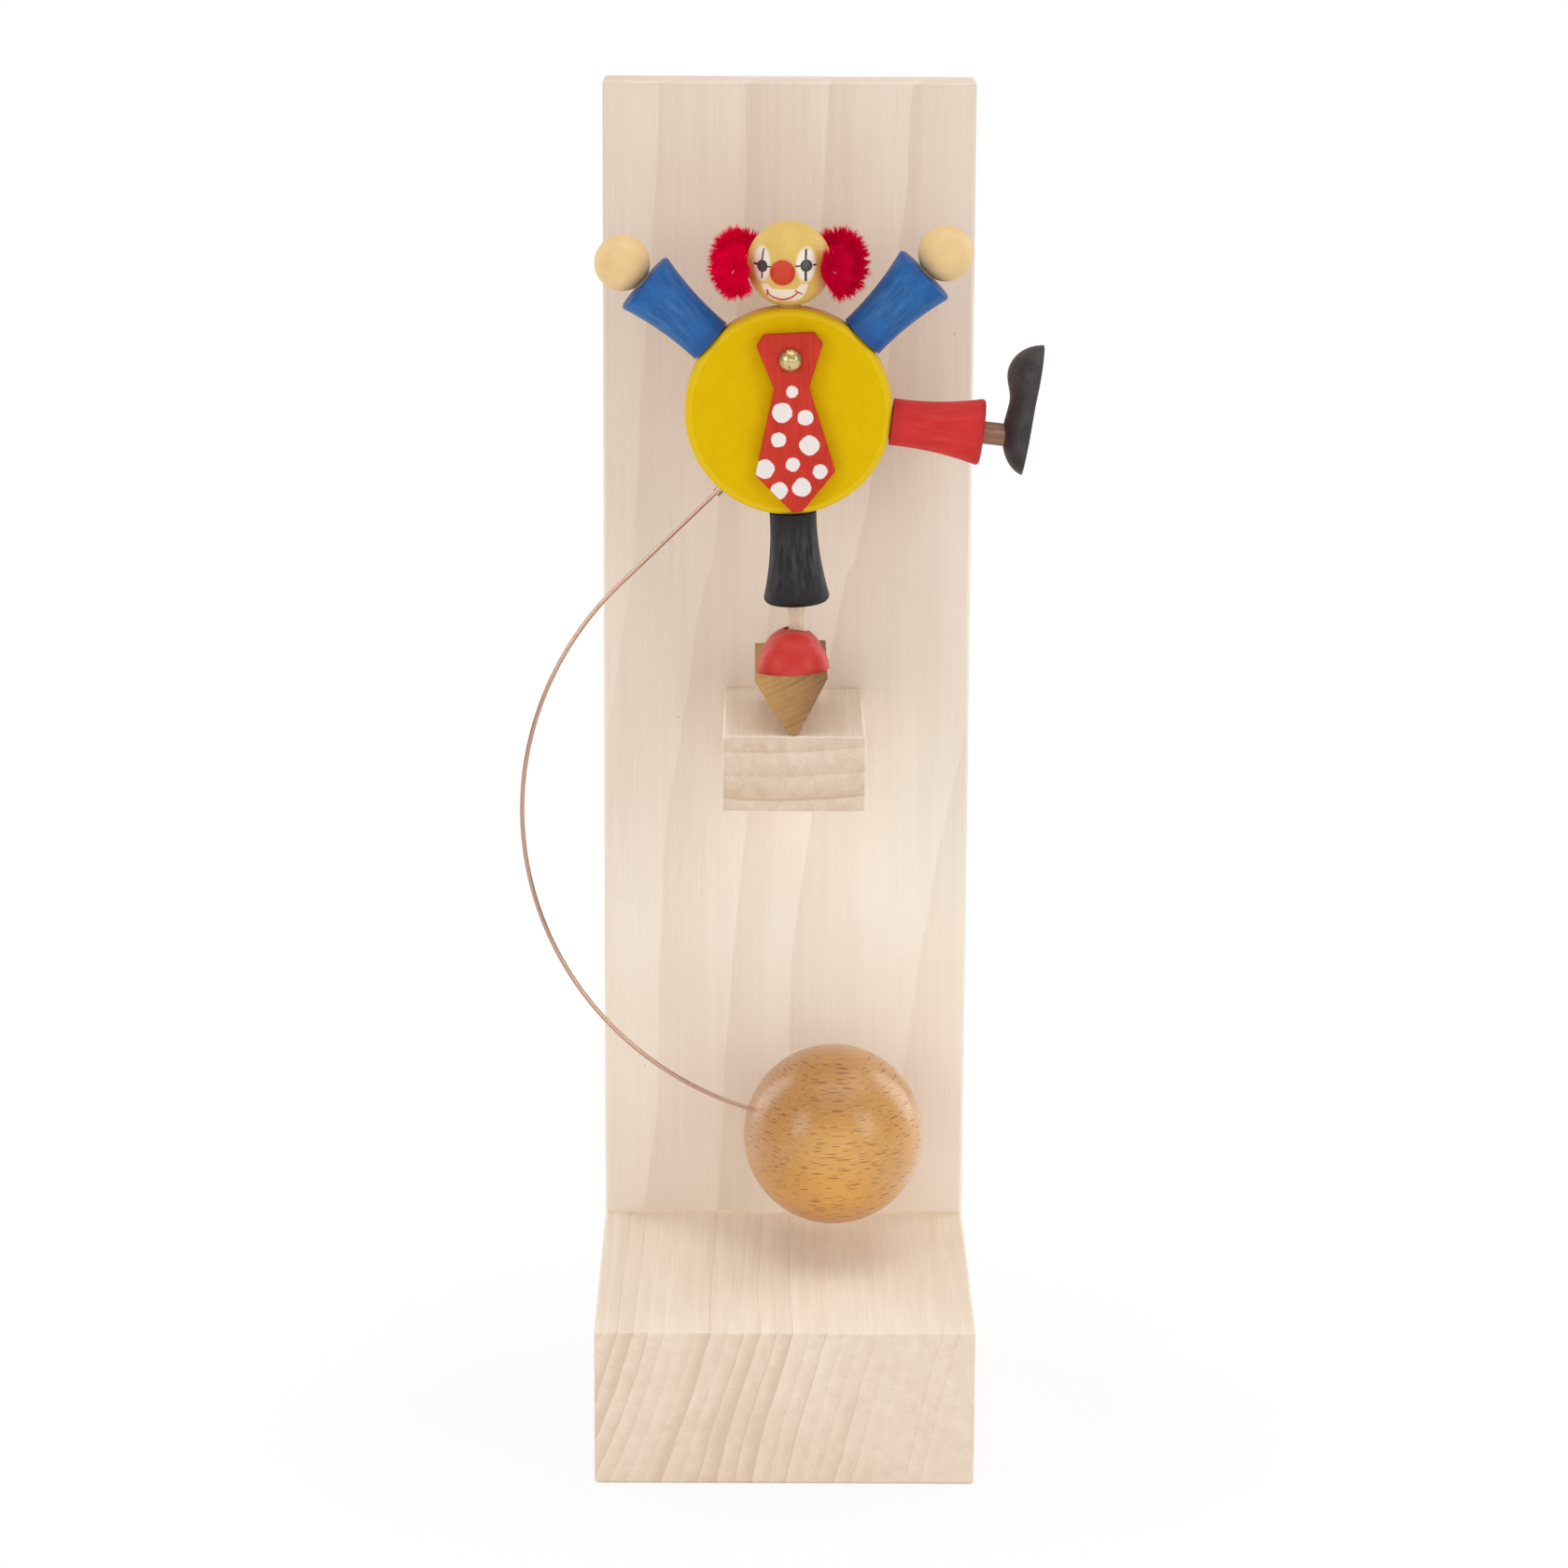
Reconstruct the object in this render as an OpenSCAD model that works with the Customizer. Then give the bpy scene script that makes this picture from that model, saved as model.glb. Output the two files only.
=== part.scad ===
// Balancing clown on a wooden perch.
// A clown of turned beads stands on a V shaped keel and rocks on a shelf.
// A bowed wire carries a heavy wooden ball below the shelf, so the figure rights itself.
// Millimetres, +Z up, front towards -Y. The origin is the middle of the base's underside.

/* [Stand] */
// Width of the base block
base_w = 82; // [70:1:100]
// Depth of the base block, front to back
base_d = 94.5; // [80:0.5:115]
// Height of the base block
base_h = 34.5; // [24:0.5:45]
// Height of the back board above the shelf's top
board_above = 135.7; // [125:0.1:160]
// Thickness of the back board
board_t = 12; // [9:0.5:16]
// Chamfer along the sawn edges of the stand
edge_ease = 0.6; // [0.3:0.1:1.2]

/* [Perch shelf] */
// Width of the shelf, side to side
shelf_w = 31; // [24:0.2:36]
// Thickness of the shelf, bottom to top
shelf_h = 16.7; // [12:0.1:22]
// How far the shelf reaches forward from the board
shelf_d = 50; // [44:0.5:58]
// Clearance under the ball when it swings over the base block
ball_clear = 8; // [5:0.5:12]
// How far the shelf's middle lies to the right of the board's middle
shelf_off = 1.5; // [-3:0.1:5]

/* [Dowels in the stand] */
// Diameter of the dowels that hold the board on the base
board_dowel_d = 8; // [6:0.5:9]
// Length of the dowels that hold the board
board_dowel_l = 30; // [20:1:40]
// Distance between the board's dowels
board_dowel_gap = 46; // [30:1:60]
// Diameter of the dowels that hold the shelf on the board
shelf_dowel_d = 6; // [4:0.5:8]
// Wood left in the board behind the shelf's dowels
shelf_dowel_web = 4; // [2.5:0.5:5]
// Depth of the shelf's dowels in the shelf
shelf_dowel_in = 16; // [10:1:24]
// Distance between the shelf's dowels
shelf_dowel_gap = 15; // [12:0.5:17]

/* [Keel under the standing shoe] */
// Length of the keel, front to back
keel_l = 36.8; // [30:0.2:42]
// Width of the keel across its flat top
keel_w = 15.7; // [13:0.1:19]
// Height of the keel from its ridge to its top
keel_h = 13.2; // [10:0.1:17]
// Height of the straight sides above the two slanting flanks
keel_side = 1; // [0.5:0.1:2.5]
// Radius of the rounded ridge that the clown rocks on
ridge_r = 1.4; // [0.8:0.1:2]
// Running gap between the ridge and the top of the shelf
rock_gap = 0.05; // [0.03:0.01:0.1]
// How far the keel's front end stays behind the front of the shelf
keel_back = 0.7; // [0:0.1:3]
// Place of the ridge, to the right of the board's middle
ridge_x = 1.3; // [0:0.1:3]
// Lean of the clown to the left as it is photographed, in degrees
lean = 2.8; // [0:0.1:6]

/* [Shoes] */
// Length of the turned shoe blank
shoe_l = 28.8; // [27:0.1:32]
// Radius of the round toe
toe_r = 7.85; // [7:0.05:9]
// Length of the round toe, from its tip to where it is thickest
toe_l = 7; // [6:0.1:9]
// Radius of the waist between toe and heel
waist_r = 6.35; // [6:0.05:6.7]
// Distance from the tip of the toe to the waist
waist_at = 13.2; // [12:0.1:15]
// Radius of the heel
heel_r = 6.75; // [6.5:0.05:7.2]
// Length of the domed heel, from where it is thickest to its end
heel_l = 10; // [8:0.1:11]
// How far below the blank's axis the standing shoe's sole is sawn
red_sole = 0.1; // [0:0.05:0.6]
// How far above the blank's axis the raised shoe's sole is sawn
black_sole = 1.05; // [0.6:0.05:1.6]
// Distance from the tip of the toe to the peg in the standing shoe
peg_from_toe = 19.3; // [17:0.1:21]
// Distance from the tip of the toe to the peg in the raised shoe
raised_from_toe = 20.4; // [18:0.1:22]
// How far the standing shoe is glued to the right of the keel's middle
shoe_off = 0.5; // [0:0.1:1]
// Diameter of the peg hole in the standing shoe
red_hole_d = 5.3; // [5:0.1:6]
// Wood left between a shoe's peg hole and its sole
sole_web = 1.5; // [1:0.1:2]

/* [Body] */
// Diameter of the round body
disc_d = 44.8; // [40:0.1:50]
// Thickness of the round body
disc_t = 9; // [8:0.1:12]
// Radius of the rounded edges of the body
disc_round = 1.5; // [0.8:0.1:2.5]
// How far the body's middle lies to the right of the ridge
disc_x = 1.9; // [0:0.1:3]
// Length of the standing leg
stand_leg_l = 20; // [18:0.1:26]
// Length of the standing leg's peg that shows above the shoe
ankle_show = 5.4; // [4:0.1:8]
// Gap at a glued seat between two turned pieces
seat_gap = 0.05; // [0.03:0.01:0.1]
// Gap around a glued peg or dowel in its hole
glue_gap = 0.04; // [0.02:0.01:0.08]

/* [Head] */
// Diameter of the head bead
head_d = 18.3; // [15:0.1:20]
// Tilt of the neck to the right of the body's middle, in degrees
neck_tilt = 2.8; // [-4:0.1:6]
// Turn of the face to the clown's right, in degrees
face_turn = 9.3; // [0:0.1:15]
// Diameter of the round nose
nose_d = 5.4; // [4:0.1:6.5]
// How far the nose stands out of the head
nose_out = 2.6; // [1.8:0.1:3]
// Drop of the nose below the middle of the head, in degrees
nose_drop = 5.3; // [0:0.1:10]
// Diameter of the neck peg
neck_peg_d = 4; // [3:0.1:5]
// Depth of a peg in the body
peg_in_disc = 7; // [5:0.5:8]
// Depth of a peg in a bead
peg_in_bead = 6; // [4:0.5:7]

/* [Hair] */
// Diameter of the curled hair stem with its pile
curl_d = 4.4; // [3.6:0.1:4.5]
// Width of the open curl, between the middles of the stem
curl_w = 5.2; // [5:0.1:5.4]
// Height of the open curl, between the middles of the stem
curl_h = 8.8; // [8:0.1:10]
// Distance from the middle of the head to the middle of a curl
curl_out = 12; // [11.9:0.1:12.6]
// Drop of the curl's middle below the middle of the head
curl_drop = 0.4; // [-1:0.1:1]
// How far the curl's middle lies behind the middle of the head
curl_back = 1; // [0.9:0.1:1.2]
// Distance from the stem's back end to its front end
curl_run = 17.2; // [17:0.1:19]
// How far the back end reaches inward behind the head
curl_tail = 4.2; // [3.6:0.1:4.3]
// How far the back end rises above the open curl
curl_rise = 1; // [0.5:0.1:2]
// Angle at which the back end starts, from straight out, in degrees
curl_start_angle = 148; // [140:1:149]
// Turn of the curl from its back end to its front end, in degrees
curl_turn_angle = 326; // [320:1:332]

/* [Arms] */
// Angle of the left arm, from straight right, in degrees
left_arm_angle = 135.8; // [125:0.1:145]
// Angle of the right arm, from straight right, in degrees
right_arm_angle = 42.5; // [35:0.1:55]
// Length of a sleeve
sleeve_l = 19.3; // [17:0.1:24]
// Diameter of a sleeve at the body
sleeve_top_d = 10.3; // [9:0.1:11]
// Diameter of a sleeve at the cuff
sleeve_cuff_d = 14.4; // [13:0.1:15.5]
// Hollow of the flare of a sleeve or a leg
sleeve_sag = 0.65; // [0.2:0.05:0.8]
// Radius of the rounded cuff of a sleeve or of the raised leg
cuff_round = 0.8; // [0.5:0.1:1.5]
// Diameter of the hand beads
hand_d = 12; // [10:0.1:14]
// Diameter of the arm pegs
arm_peg_d = 4; // [3:0.1:5]

/* [Legs] */
// Angle of the raised leg below straight right, in degrees
raised_angle = 9.3; // [0:0.1:15]
// Length of the raised leg
raised_leg_l = 19.8; // [18:0.1:24]
// Length of the raised leg's peg that shows above the shoe
raised_show = 4.2; // [3.6:0.1:7]
// Tilt of the raised shoe against its leg, in degrees
shoe_tilt = 2.7; // [0:0.1:5]
// Diameter of a leg at the body
leg_top_d = 10.2; // [9.5:0.1:11]
// Diameter of a leg at the hem
leg_hem_d = 14.3; // [13:0.1:15.5]
// Radius of the rounded hem of the standing leg
hem_round = 1.5; // [0.5:0.1:2]
// Diameter of the standing leg's peg
stand_peg_d = 4.1; // [3.5:0.1:4.6]
// Diameter of the raised leg's stained peg
raised_peg_d = 4.9; // [4:0.1:5.2]

/* [Balance wire and ball] */
// Diameter of the copper wire
wire_d = 1; // [0.8:0.1:1.6]
// Direction in which the wire leaves the body, in degrees
wire_angle = 221.5; // [220.5:0.1:222.5]
// How far below the body's middle the line of the straight wire passes
wire_off = 2.1; // [1:0.1:3]
// Length of the wire's straight stretch
wire_straight = 31; // [28:0.1:34]
// Radius of the wire's bow
bow_r = 71; // [69:0.1:74]
// Turn of the wire's bow, in degrees
bow_turn = 118.4; // [116.5:0.1:120]
// Diameter of the balance ball
ball_d = 40; // [36:0.5:42]
// Depth of the wire's ends in the wood
wire_in = 8; // [5:0.5:8]
// Diameter of the pinched collar where the wire enters the body
collar_d = 2.2; // [1.8:0.1:3]
// Length of the collar
collar_l = 1.5; // [1:0.1:2.5]

/* [Tie] */
// Thickness of the tie
tie_t = 2.5; // [1.5:0.1:3]
// Height of the tie's top edge above its nail
tie_top = 5.6; // [4:0.1:7]
// Length of the tie from its nail to its tip
tie_drop = 33.1; // [30:0.1:33.3]
// Width of the knot at the top edge
knot_top_w = 10.8; // [9:0.1:13]
// Width of the knot where it is widest
knot_w = 14.2; // [12:0.1:16]
// Width of the waist under the knot
waist_w = 7.5; // [6:0.1:9]
// Width of the blade where it is widest
blade_w = 17.2; // [14:0.1:19]
// Width of the cut tip
tip_w = 2.1; // [1.5:0.1:4]
// Height of the nail above the middle of the body
nail_up = 11.8; // [10.5:0.1:12.5]
// Place of the nail to the right of the body's middle
nail_side = 0.9; // [0:0.1:2]
// Diameter of the nail's domed head
nail_head_d = 5.3; // [4:0.1:6]
// Height of the nail's domed head
nail_head_h = 1.9; // [1.2:0.1:2]
// Diameter of the nail's shank
nail_d = 1.6; // [1.2:0.1:2]
// Depth of the nail in the body
nail_in = 5.5; // [4:0.1:7]
// Running gap around the nail in the tie
nail_gap = 0.08; // [0.05:0.01:0.1]
// Gap between the tie and the front of the body
tie_gap = 0.3; // [0.2:0.05:0.5]
// Gap between the tie and the head of the nail
head_gap = 0.2; // [0.15:0.05:0.4]

/* [Hidden] */
$fn = 96;

// The clown. Its own frame starts at the ridge, upright, with the body's plane at y = 0.
disc_r = disc_d / 2;
head_r = head_d / 2;
hand_r = hand_d / 2;
ball_r = ball_d / 2;
ankle_top = red_sole + heel_r;
disc_z = keel_h + ankle_top + ankle_show + stand_leg_l + seat_gap + disc_r;
bead_off = disc_r + seat_gap;
head_off = bead_off + head_r + seat_gap;
cuff_off = bead_off + sleeve_l;
hand_off = cuff_off + seat_gap + hand_r;
hem_off = bead_off + raised_leg_l;
black_height = heel_r - black_sole;
sole_off = hem_off + raised_show + black_height;
hole_shift = (red_hole_d - stand_peg_d) / 2 - glue_gap;
heel_at = shoe_l - heel_l;

// The keel's flank touches the rounding of the ridge at this angle from upright.
flank_up = keel_h - keel_side - ridge_r;
flank_reach = sqrt(pow(keel_w / 2, 2) + pow(flank_up, 2));
flank = acos(ridge_r / flank_reach) - atan2(flank_up, keel_w / 2);

// The wire in the body's plane: out of the rim, straight, and round the bow.
bow_end_angle = wire_angle + bow_turn;
straight_off = sqrt(pow(disc_r, 2) - pow(wire_off, 2)) + wire_straight;
bow_side = bow_r + wire_off;
bow_mid = [straight_off * cos(wire_angle) - bow_side * sin(wire_angle),
           straight_off * sin(wire_angle) + bow_side * cos(wire_angle)];
bow_end = [bow_mid[0] + bow_r * sin(bow_end_angle), bow_mid[1] - bow_r * cos(bow_end_angle)];
ball_mid = [bow_end[0] + ball_r * cos(bow_end_angle), bow_end[1] + ball_r * sin(bow_end_angle)];

// The stand. The ball swings about the ridge, so its reach sets how high the shelf is.
reach = norm([disc_x + ball_mid[0], disc_z + ball_mid[1] - ridge_r]) + ball_r;
shelf_rise = reach + ball_clear - ridge_r - rock_gap;
board_h = shelf_rise + board_above;
board_front = base_d / 2 - board_t;
shelf_top = base_h + shelf_rise;
shelf_mid = shelf_top - shelf_h / 2;
shelf_front = board_front - shelf_d;
board_dowel_in = board_dowel_l / 2;
shelf_dowel_in_board = board_t - shelf_dowel_web;
body_y = shelf_front + keel_back + peg_from_toe;
echo(ridge_middle = [ridge_x, body_y, shelf_top + rock_gap + ridge_r], board_h = board_h);

// The hair's stem: points along one turn that opens from behind the head.
curl_rings = 24;
function curl_point(t) =
    let (a = curl_start_angle - curl_turn_angle * t, k = pow(max(0, 1 - t / 0.3), 2))
    [curl_out + (curl_w / 2 + curl_tail * k) * cos(a),
     curl_back + curl_run * (0.5 - t),
     (curl_h / 2 + curl_rise * k) * sin(a) - curl_drop];
curl_path = [for (i = [0 : curl_rings]) curl_point(i / curl_rings)];
function unit(v) = v / norm(v);
function heading(p, i) = unit(p[min(i + 1, len(p) - 1)] - p[max(i - 1, 0)]);
function ring(p, i, r, n) =
    let (t = heading(p, i), u = unit(cross(t, [0, 1, 0])), v = cross(t, u))
    [for (k = [0 : n - 1]) p[i] + r * (cos(360 * k / n) * u + sin(360 * k / n) * v)];
curl_gap = min([for (i = [0 : curl_rings - 8]) for (j = [i + 8 : curl_rings])
    norm(curl_path[i] - curl_path[j])]) - curl_d;
head_gap_to_curl = min([for (p = curl_path) norm(p)]) - head_r - curl_d / 2;
echo(least_gap_of_hair_to_itself = curl_gap, least_gap_of_hair_to_head = head_gap_to_curl);

// Puts the clown's own frame on the shelf, leaning about the middle of the ridge's rounding.
module on_ridge() {
    translate([ridge_x, body_y, shelf_top + rock_gap + ridge_r])
        rotate([0, -lean, 0])
            translate([0, 0, -ridge_r])
                children();
}

// Starts at the middle of the body's disc.
module at_disc() {
    on_ridge() translate([disc_x, 0, disc_z]) children();
}

// Turns +Z to an angle in the body's plane, measured from straight right.
module along(angle) {
    at_disc() rotate([0, 90 - angle, 0]) children();
}

module eased_block(w, d, h) {
    intersection() {
        linear_extrude(h) eased_outline(w, d);
        translate([0, d / 2, h / 2]) rotate([90, 0, 0]) linear_extrude(d) eased_outline(w, h);
        translate([-w / 2, 0, h / 2]) rotate([90, 0, 90]) linear_extrude(w) eased_outline(d, h);
    }
}

module eased_outline(a, b) {
    e = edge_ease;
    polygon([[-a / 2 + e, -b / 2], [a / 2 - e, -b / 2], [a / 2, -b / 2 + e], [a / 2, b / 2 - e],
             [a / 2 - e, b / 2], [-a / 2 + e, b / 2], [-a / 2, b / 2 - e], [-a / 2, -b / 2 + e]]);
}

// The places of the dowels, in pairs about the middle of what they hold.
module board_dowel_places() {
    for (s = [-1, 1])
        translate([s * board_dowel_gap / 2, board_front + board_t / 2, base_h]) children();
}

module shelf_dowel_places() {
    for (s = [-1, 1])
        translate([shelf_off + s * shelf_dowel_gap / 2, board_front, shelf_mid])
            rotate([90, 0, 0]) children();
}

// A hole for a peg from -back to +front along Z.
module bore(d, back, front) {
    translate([0, 0, -back]) cylinder(d = d + 2 * glue_gap, h = back + front);
}

module peg(d, back, front) {
    e = d / 10;
    translate([0, 0, -back])
        rotate_extrude()
            polygon([[0, 0], [d / 2 - e, 0], [d / 2, e], [d / 2, back + front - e],
                     [d / 2 - e, back + front], [0, back + front]]);
}

module base_block() {
    color("wheat")
        difference() {
            eased_block(base_w, base_d, base_h);
            board_dowel_places() bore(board_dowel_d, board_dowel_in + 1, 1);
        }
}

module back_board() {
    color("antiquewhite")
        difference() {
            translate([0, board_front + board_t / 2, base_h]) eased_block(base_w, board_t, board_h);
            board_dowel_places() bore(board_dowel_d, 1, board_dowel_in + 1);
            shelf_dowel_places() bore(shelf_dowel_d, shelf_dowel_in_board + 0.5, 1);
        }
}

module perch_shelf() {
    color("bisque")
        difference() {
            translate([shelf_off, shelf_front + shelf_d / 2, shelf_top - shelf_h])
                eased_block(shelf_w, shelf_d, shelf_h);
            shelf_dowel_places() bore(shelf_dowel_d, 1, shelf_dowel_in + 1);
        }
}

module board_dowels() {
    color("tan") board_dowel_places() peg(board_dowel_d, board_dowel_in, board_dowel_in);
}

module shelf_dowels() {
    color("tan") shelf_dowel_places() peg(shelf_dowel_d, shelf_dowel_in_board, shelf_dowel_in);
}

// The V shaped keel: flat top, short straight sides, two flanks and a rounded ridge.
module rocker_block() {
    c = ridge_r * cos(flank);
    s = ridge_r * (1 - sin(flank));
    w = keel_w / 2;
    color("peru")
        on_ridge()
            translate([0, keel_l - peg_from_toe, 0])
                rotate([90, 0, 0])
                    linear_extrude(keel_l)
                        union() {
                            polygon([[-c, s], [c, s], [w, keel_h - keel_side], [w, keel_h],
                                     [-w, keel_h], [-w, keel_h - keel_side]]);
                            translate([0, ridge_r]) circle(ridge_r);
                        }
}

// The turned blank of a shoe, along Z from the tip of the toe, before it is sawn.
module shoe_blank() {
    n = 8;
    rotate_extrude()
        polygon(concat(
            [for (a = [0 : 7.5 : 82.5]) [toe_r * sin(a), toe_l * (1 - cos(a))]],
            [for (i = [0 : n]) [eased(toe_r, waist_r, i / n), toe_l + (waist_at - toe_l) * i / n]],
            [for (i = [1 : n]) [eased(waist_r, heel_r, i / n), waist_at + (heel_at - waist_at) * i / n]],
            [for (a = [82.5 : -7.5 : 0]) [heel_r * sin(a), heel_at + heel_l * cos(a)]]));
}

// Goes smoothly from a to b as t goes from 0 to 1.
function eased(a, b, t) = a + (b - a) * (1 - cos(180 * t)) / 2;

// A shoe with its sawn sole at z = 0 and its toe towards -Y. The peg's axis is at x = y = 0.
module shoe(saw, from_toe) {
    difference() {
        translate([0, -from_toe, -saw]) rotate([-90, 0, 0]) shoe_blank();
        translate([-toe_r - 1, -from_toe - 1, -2 * toe_r])
            cube([2 * toe_r + 2, shoe_l + 2, 2 * toe_r]);
    }
}

module red_shoe() {
    color("tomato")
        on_ridge()
            translate([0, 0, keel_h])
                difference() {
                    translate([shoe_off, 0, 0]) shoe(-red_sole, peg_from_toe);
                    translate([disc_x - hole_shift, 0, sole_web])
                        cylinder(d = red_hole_d, h = 2 * toe_r);
                }
}

// A turned sleeve along Z: a hollow flare, a rounded hem and a hole for its peg.
module flared_sleeve(l, d_top, d_hem, round, d_peg) {
    r0 = d_top / 2;
    r1 = d_hem / 2;
    h = l - round;
    hole = d_peg / 2 + glue_gap;
    rotate_extrude()
        polygon(concat(
            [[hole, 0]],
            [for (i = [0 : 10]) [r0 + (r1 - r0) * i / 10 - 4 * sleeve_sag * (i / 10) * (1 - i / 10),
                                 h * i / 10]],
            [for (a = [15 : 15 : 90]) [r1 - round * (1 - cos(a)), h + round * sin(a)]],
            [[hole, l]]));
}

module standing_leg() {
    color("dimgray")
        along(-90)
            translate([0, 0, bead_off])
                flared_sleeve(stand_leg_l, leg_top_d, leg_hem_d, hem_round, stand_peg_d);
}

module standing_leg_peg() {
    reach = stand_leg_l + ankle_show + ankle_top - sole_web - glue_gap;
    color("burlywood")
        along(-90)
            translate([0, 0, bead_off])
                peg(stand_peg_d, peg_in_disc, reach);
}

module body_disc() {
    r = disc_round;
    color("gold")
        difference() {
            at_disc()
                rotate([90, 0, 0])
                    rotate_extrude()
                        union() {
                            translate([0, -disc_t / 2]) square([disc_r - r, disc_t]);
                            translate([0, r - disc_t / 2]) square([disc_r, disc_t - 2 * r]);
                            for (s = [-1, 1])
                                translate([disc_r - r, s * (disc_t / 2 - r)]) circle(r);
                        }
            along(-90) peg_hole(stand_peg_d);
            along(-raised_angle) peg_hole(raised_peg_d);
            along(left_arm_angle) peg_hole(arm_peg_d);
            along(right_arm_angle) peg_hole(arm_peg_d);
            along(90 - neck_tilt) peg_hole(neck_peg_d);
            at_wire() translate([0, 0, wire_straight]) bore(wire_d, 1, wire_in + 0.3);
            at_nail() bore(nail_d, 1, nail_in + 0.3);
        }
}

// A hole in the rim of the body for a peg that reaches in by peg_in_disc.
module peg_hole(d) {
    translate([0, 0, bead_off]) bore(d, peg_in_disc + 0.3, 1);
}

module raised_leg() {
    color("crimson")
        along(-raised_angle)
            translate([0, 0, bead_off])
                flared_sleeve(raised_leg_l, leg_top_d, leg_hem_d, cuff_round, raised_peg_d);
}

module raised_leg_peg() {
    reach = raised_leg_l + raised_show + black_height - sole_web - glue_gap;
    color("saddlebrown")
        along(-raised_angle)
            translate([0, 0, bead_off])
                peg(raised_peg_d, peg_in_disc, reach);
}

// The raised shoe: its sole faces away from the body, its toe points up.
module black_shoe() {
    color("black")
        difference() {
            along(-raised_angle)
                translate([0, 0, sole_off])
                    rotate([0, shoe_tilt, 0])
                        rotate([180, 0, 90])
                            shoe(black_sole, raised_from_toe);
            along(-raised_angle)
                translate([0, 0, sole_off - sole_web - 2 * toe_r])
                    cylinder(d = raised_peg_d + 2 * glue_gap, h = 2 * toe_r);
        }
}

module left_sleeve() {
    color("royalblue") arm_sleeve(left_arm_angle);
}

module right_sleeve() {
    color("royalblue") arm_sleeve(right_arm_angle);
}

module arm_sleeve(angle) {
    along(angle)
        translate([0, 0, bead_off])
            flared_sleeve(sleeve_l, sleeve_top_d, sleeve_cuff_d, cuff_round, arm_peg_d);
}

module left_arm_peg() {
    color("tan") arm_peg(left_arm_angle);
}

module right_arm_peg() {
    color("tan") arm_peg(right_arm_angle);
}

module arm_peg(angle) {
    along(angle)
        translate([0, 0, bead_off])
            peg(arm_peg_d, peg_in_disc, sleeve_l + seat_gap + peg_in_bead);
}

module left_hand() {
    color("moccasin") hand(left_arm_angle);
}

module right_hand() {
    color("moccasin") hand(right_arm_angle);
}

module hand(angle) {
    along(angle)
        difference() {
            translate([0, 0, hand_off]) sphere(d = hand_d);
            translate([0, 0, cuff_off + seat_gap]) bore(arm_peg_d, 1, peg_in_bead + 0.3);
        }
}

module neck_peg() {
    color("tan")
        along(90 - neck_tilt)
            translate([0, 0, bead_off])
                peg(neck_peg_d, peg_in_disc, peg_in_bead);
}

// Starts at the middle of the head, with the face towards -Y.
module at_head() {
    along(90 - neck_tilt) translate([0, 0, head_off]) children();
}

module head() {
    color("moccasin")
        difference() {
            at_head() sphere(d = head_d);
            along(90 - neck_tilt)
                translate([0, 0, bead_off])
                    bore(neck_peg_d, 1, peg_in_bead + 0.3);
        }
}

// The nose is a small bead that is hollowed to sit on the head.
module nose() {
    color("red")
        at_head()
            rotate([90 + nose_drop, 0, -face_turn])
                rotate_extrude()
                    intersection() {
                        translate([0, head_r - 2]) square([nose_d, nose_out + 3]);
                        difference() {
                            translate([0, head_r + nose_out - nose_d / 2]) circle(d = nose_d);
                            circle(head_r + seat_gap);
                        }
                    }
}

// One curled stem, a tube of six sides along its path.
module curl() {
    n = 6;
    last = len(curl_path) - 1;
    points = [for (i = [0 : last]) for (p = ring(curl_path, i, curl_d / 2, n)) p];
    walls = [for (i = [0 : last - 1]) for (k = [0 : n - 1])
        let (a = i * n + k, b = i * n + (k + 1) % n)
        for (f = [[a, a + n, b], [b, a + n, b + n]]) f];
    ends = concat([for (k = [1 : n - 2]) [0, k, k + 1]],
                  [for (k = [1 : n - 2]) [last * n, last * n + k + 1, last * n + k]]);
    polyhedron(points, concat(walls, ends));
}

module hair_right() {
    color("crimson") at_head() curl();
}

module hair_left() {
    color("crimson") at_head() mirror([1, 0, 0]) curl();
}

// Starts at the middle of the bow, in the body's plane. The bow runs round +Z from [bow_r, 0].
module at_bow() {
    at_disc()
        rotate([90, 0, 0])
            translate([bow_mid[0], bow_mid[1], 0])
                rotate([0, 0, wire_angle - 90])
                    children();
}

// Starts at the upper end of the bow, with +Z along the straight wire into the body.
module at_wire() {
    at_bow() translate([bow_r, 0, 0]) rotate([90, 0, 0]) children();
}

// The bow, and its end in the ball as deep as asked.
module bow(d, deep) {
    rotate_extrude(angle = bow_turn + deep / bow_r * 180 / PI)
        translate([bow_r, 0])
            circle(d = d);
}

// The wire: an end in the body, a collar, a straight stretch and the bow.
module balance_wire() {
    color("chocolate")
        union() {
            at_wire() cylinder(d = wire_d, h = wire_straight + wire_in);
            at_wire()
                translate([0, 0, wire_straight - collar_l - 0.2])
                    cylinder(d = collar_d, h = collar_l);
            at_bow() bow(wire_d, wire_in);
        }
}

module balance_ball() {
    color("sandybrown")
        difference() {
            at_disc() translate([ball_mid[0], 0, ball_mid[1]]) sphere(d = ball_d);
            at_bow() bow(wire_d + 2 * glue_gap, wire_in + 0.3);
        }
}

// Starts where the nail enters the front of the body, with +Z into the wood.
module at_nail() {
    at_disc() translate([nail_side, -disc_t / 2, nail_up]) rotate([-90, 0, 0]) children();
}

module tie_nail() {
    out = tie_gap + tie_t + head_gap;
    r = (pow(nail_head_d / 2, 2) + pow(nail_head_h, 2)) / (2 * nail_head_h);
    color("darkgoldenrod")
        at_nail()
            rotate_extrude()
                polygon(concat(
                    [[0, nail_in], [nail_d / 2, nail_in - 1.2], [nail_d / 2, -out]],
                    [for (i = [0 : 8]) let (x = nail_head_d / 2 * (1 - i / 8))
                        [x, r - out - nail_head_h - sqrt(r * r - x * x)]]));
}

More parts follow.
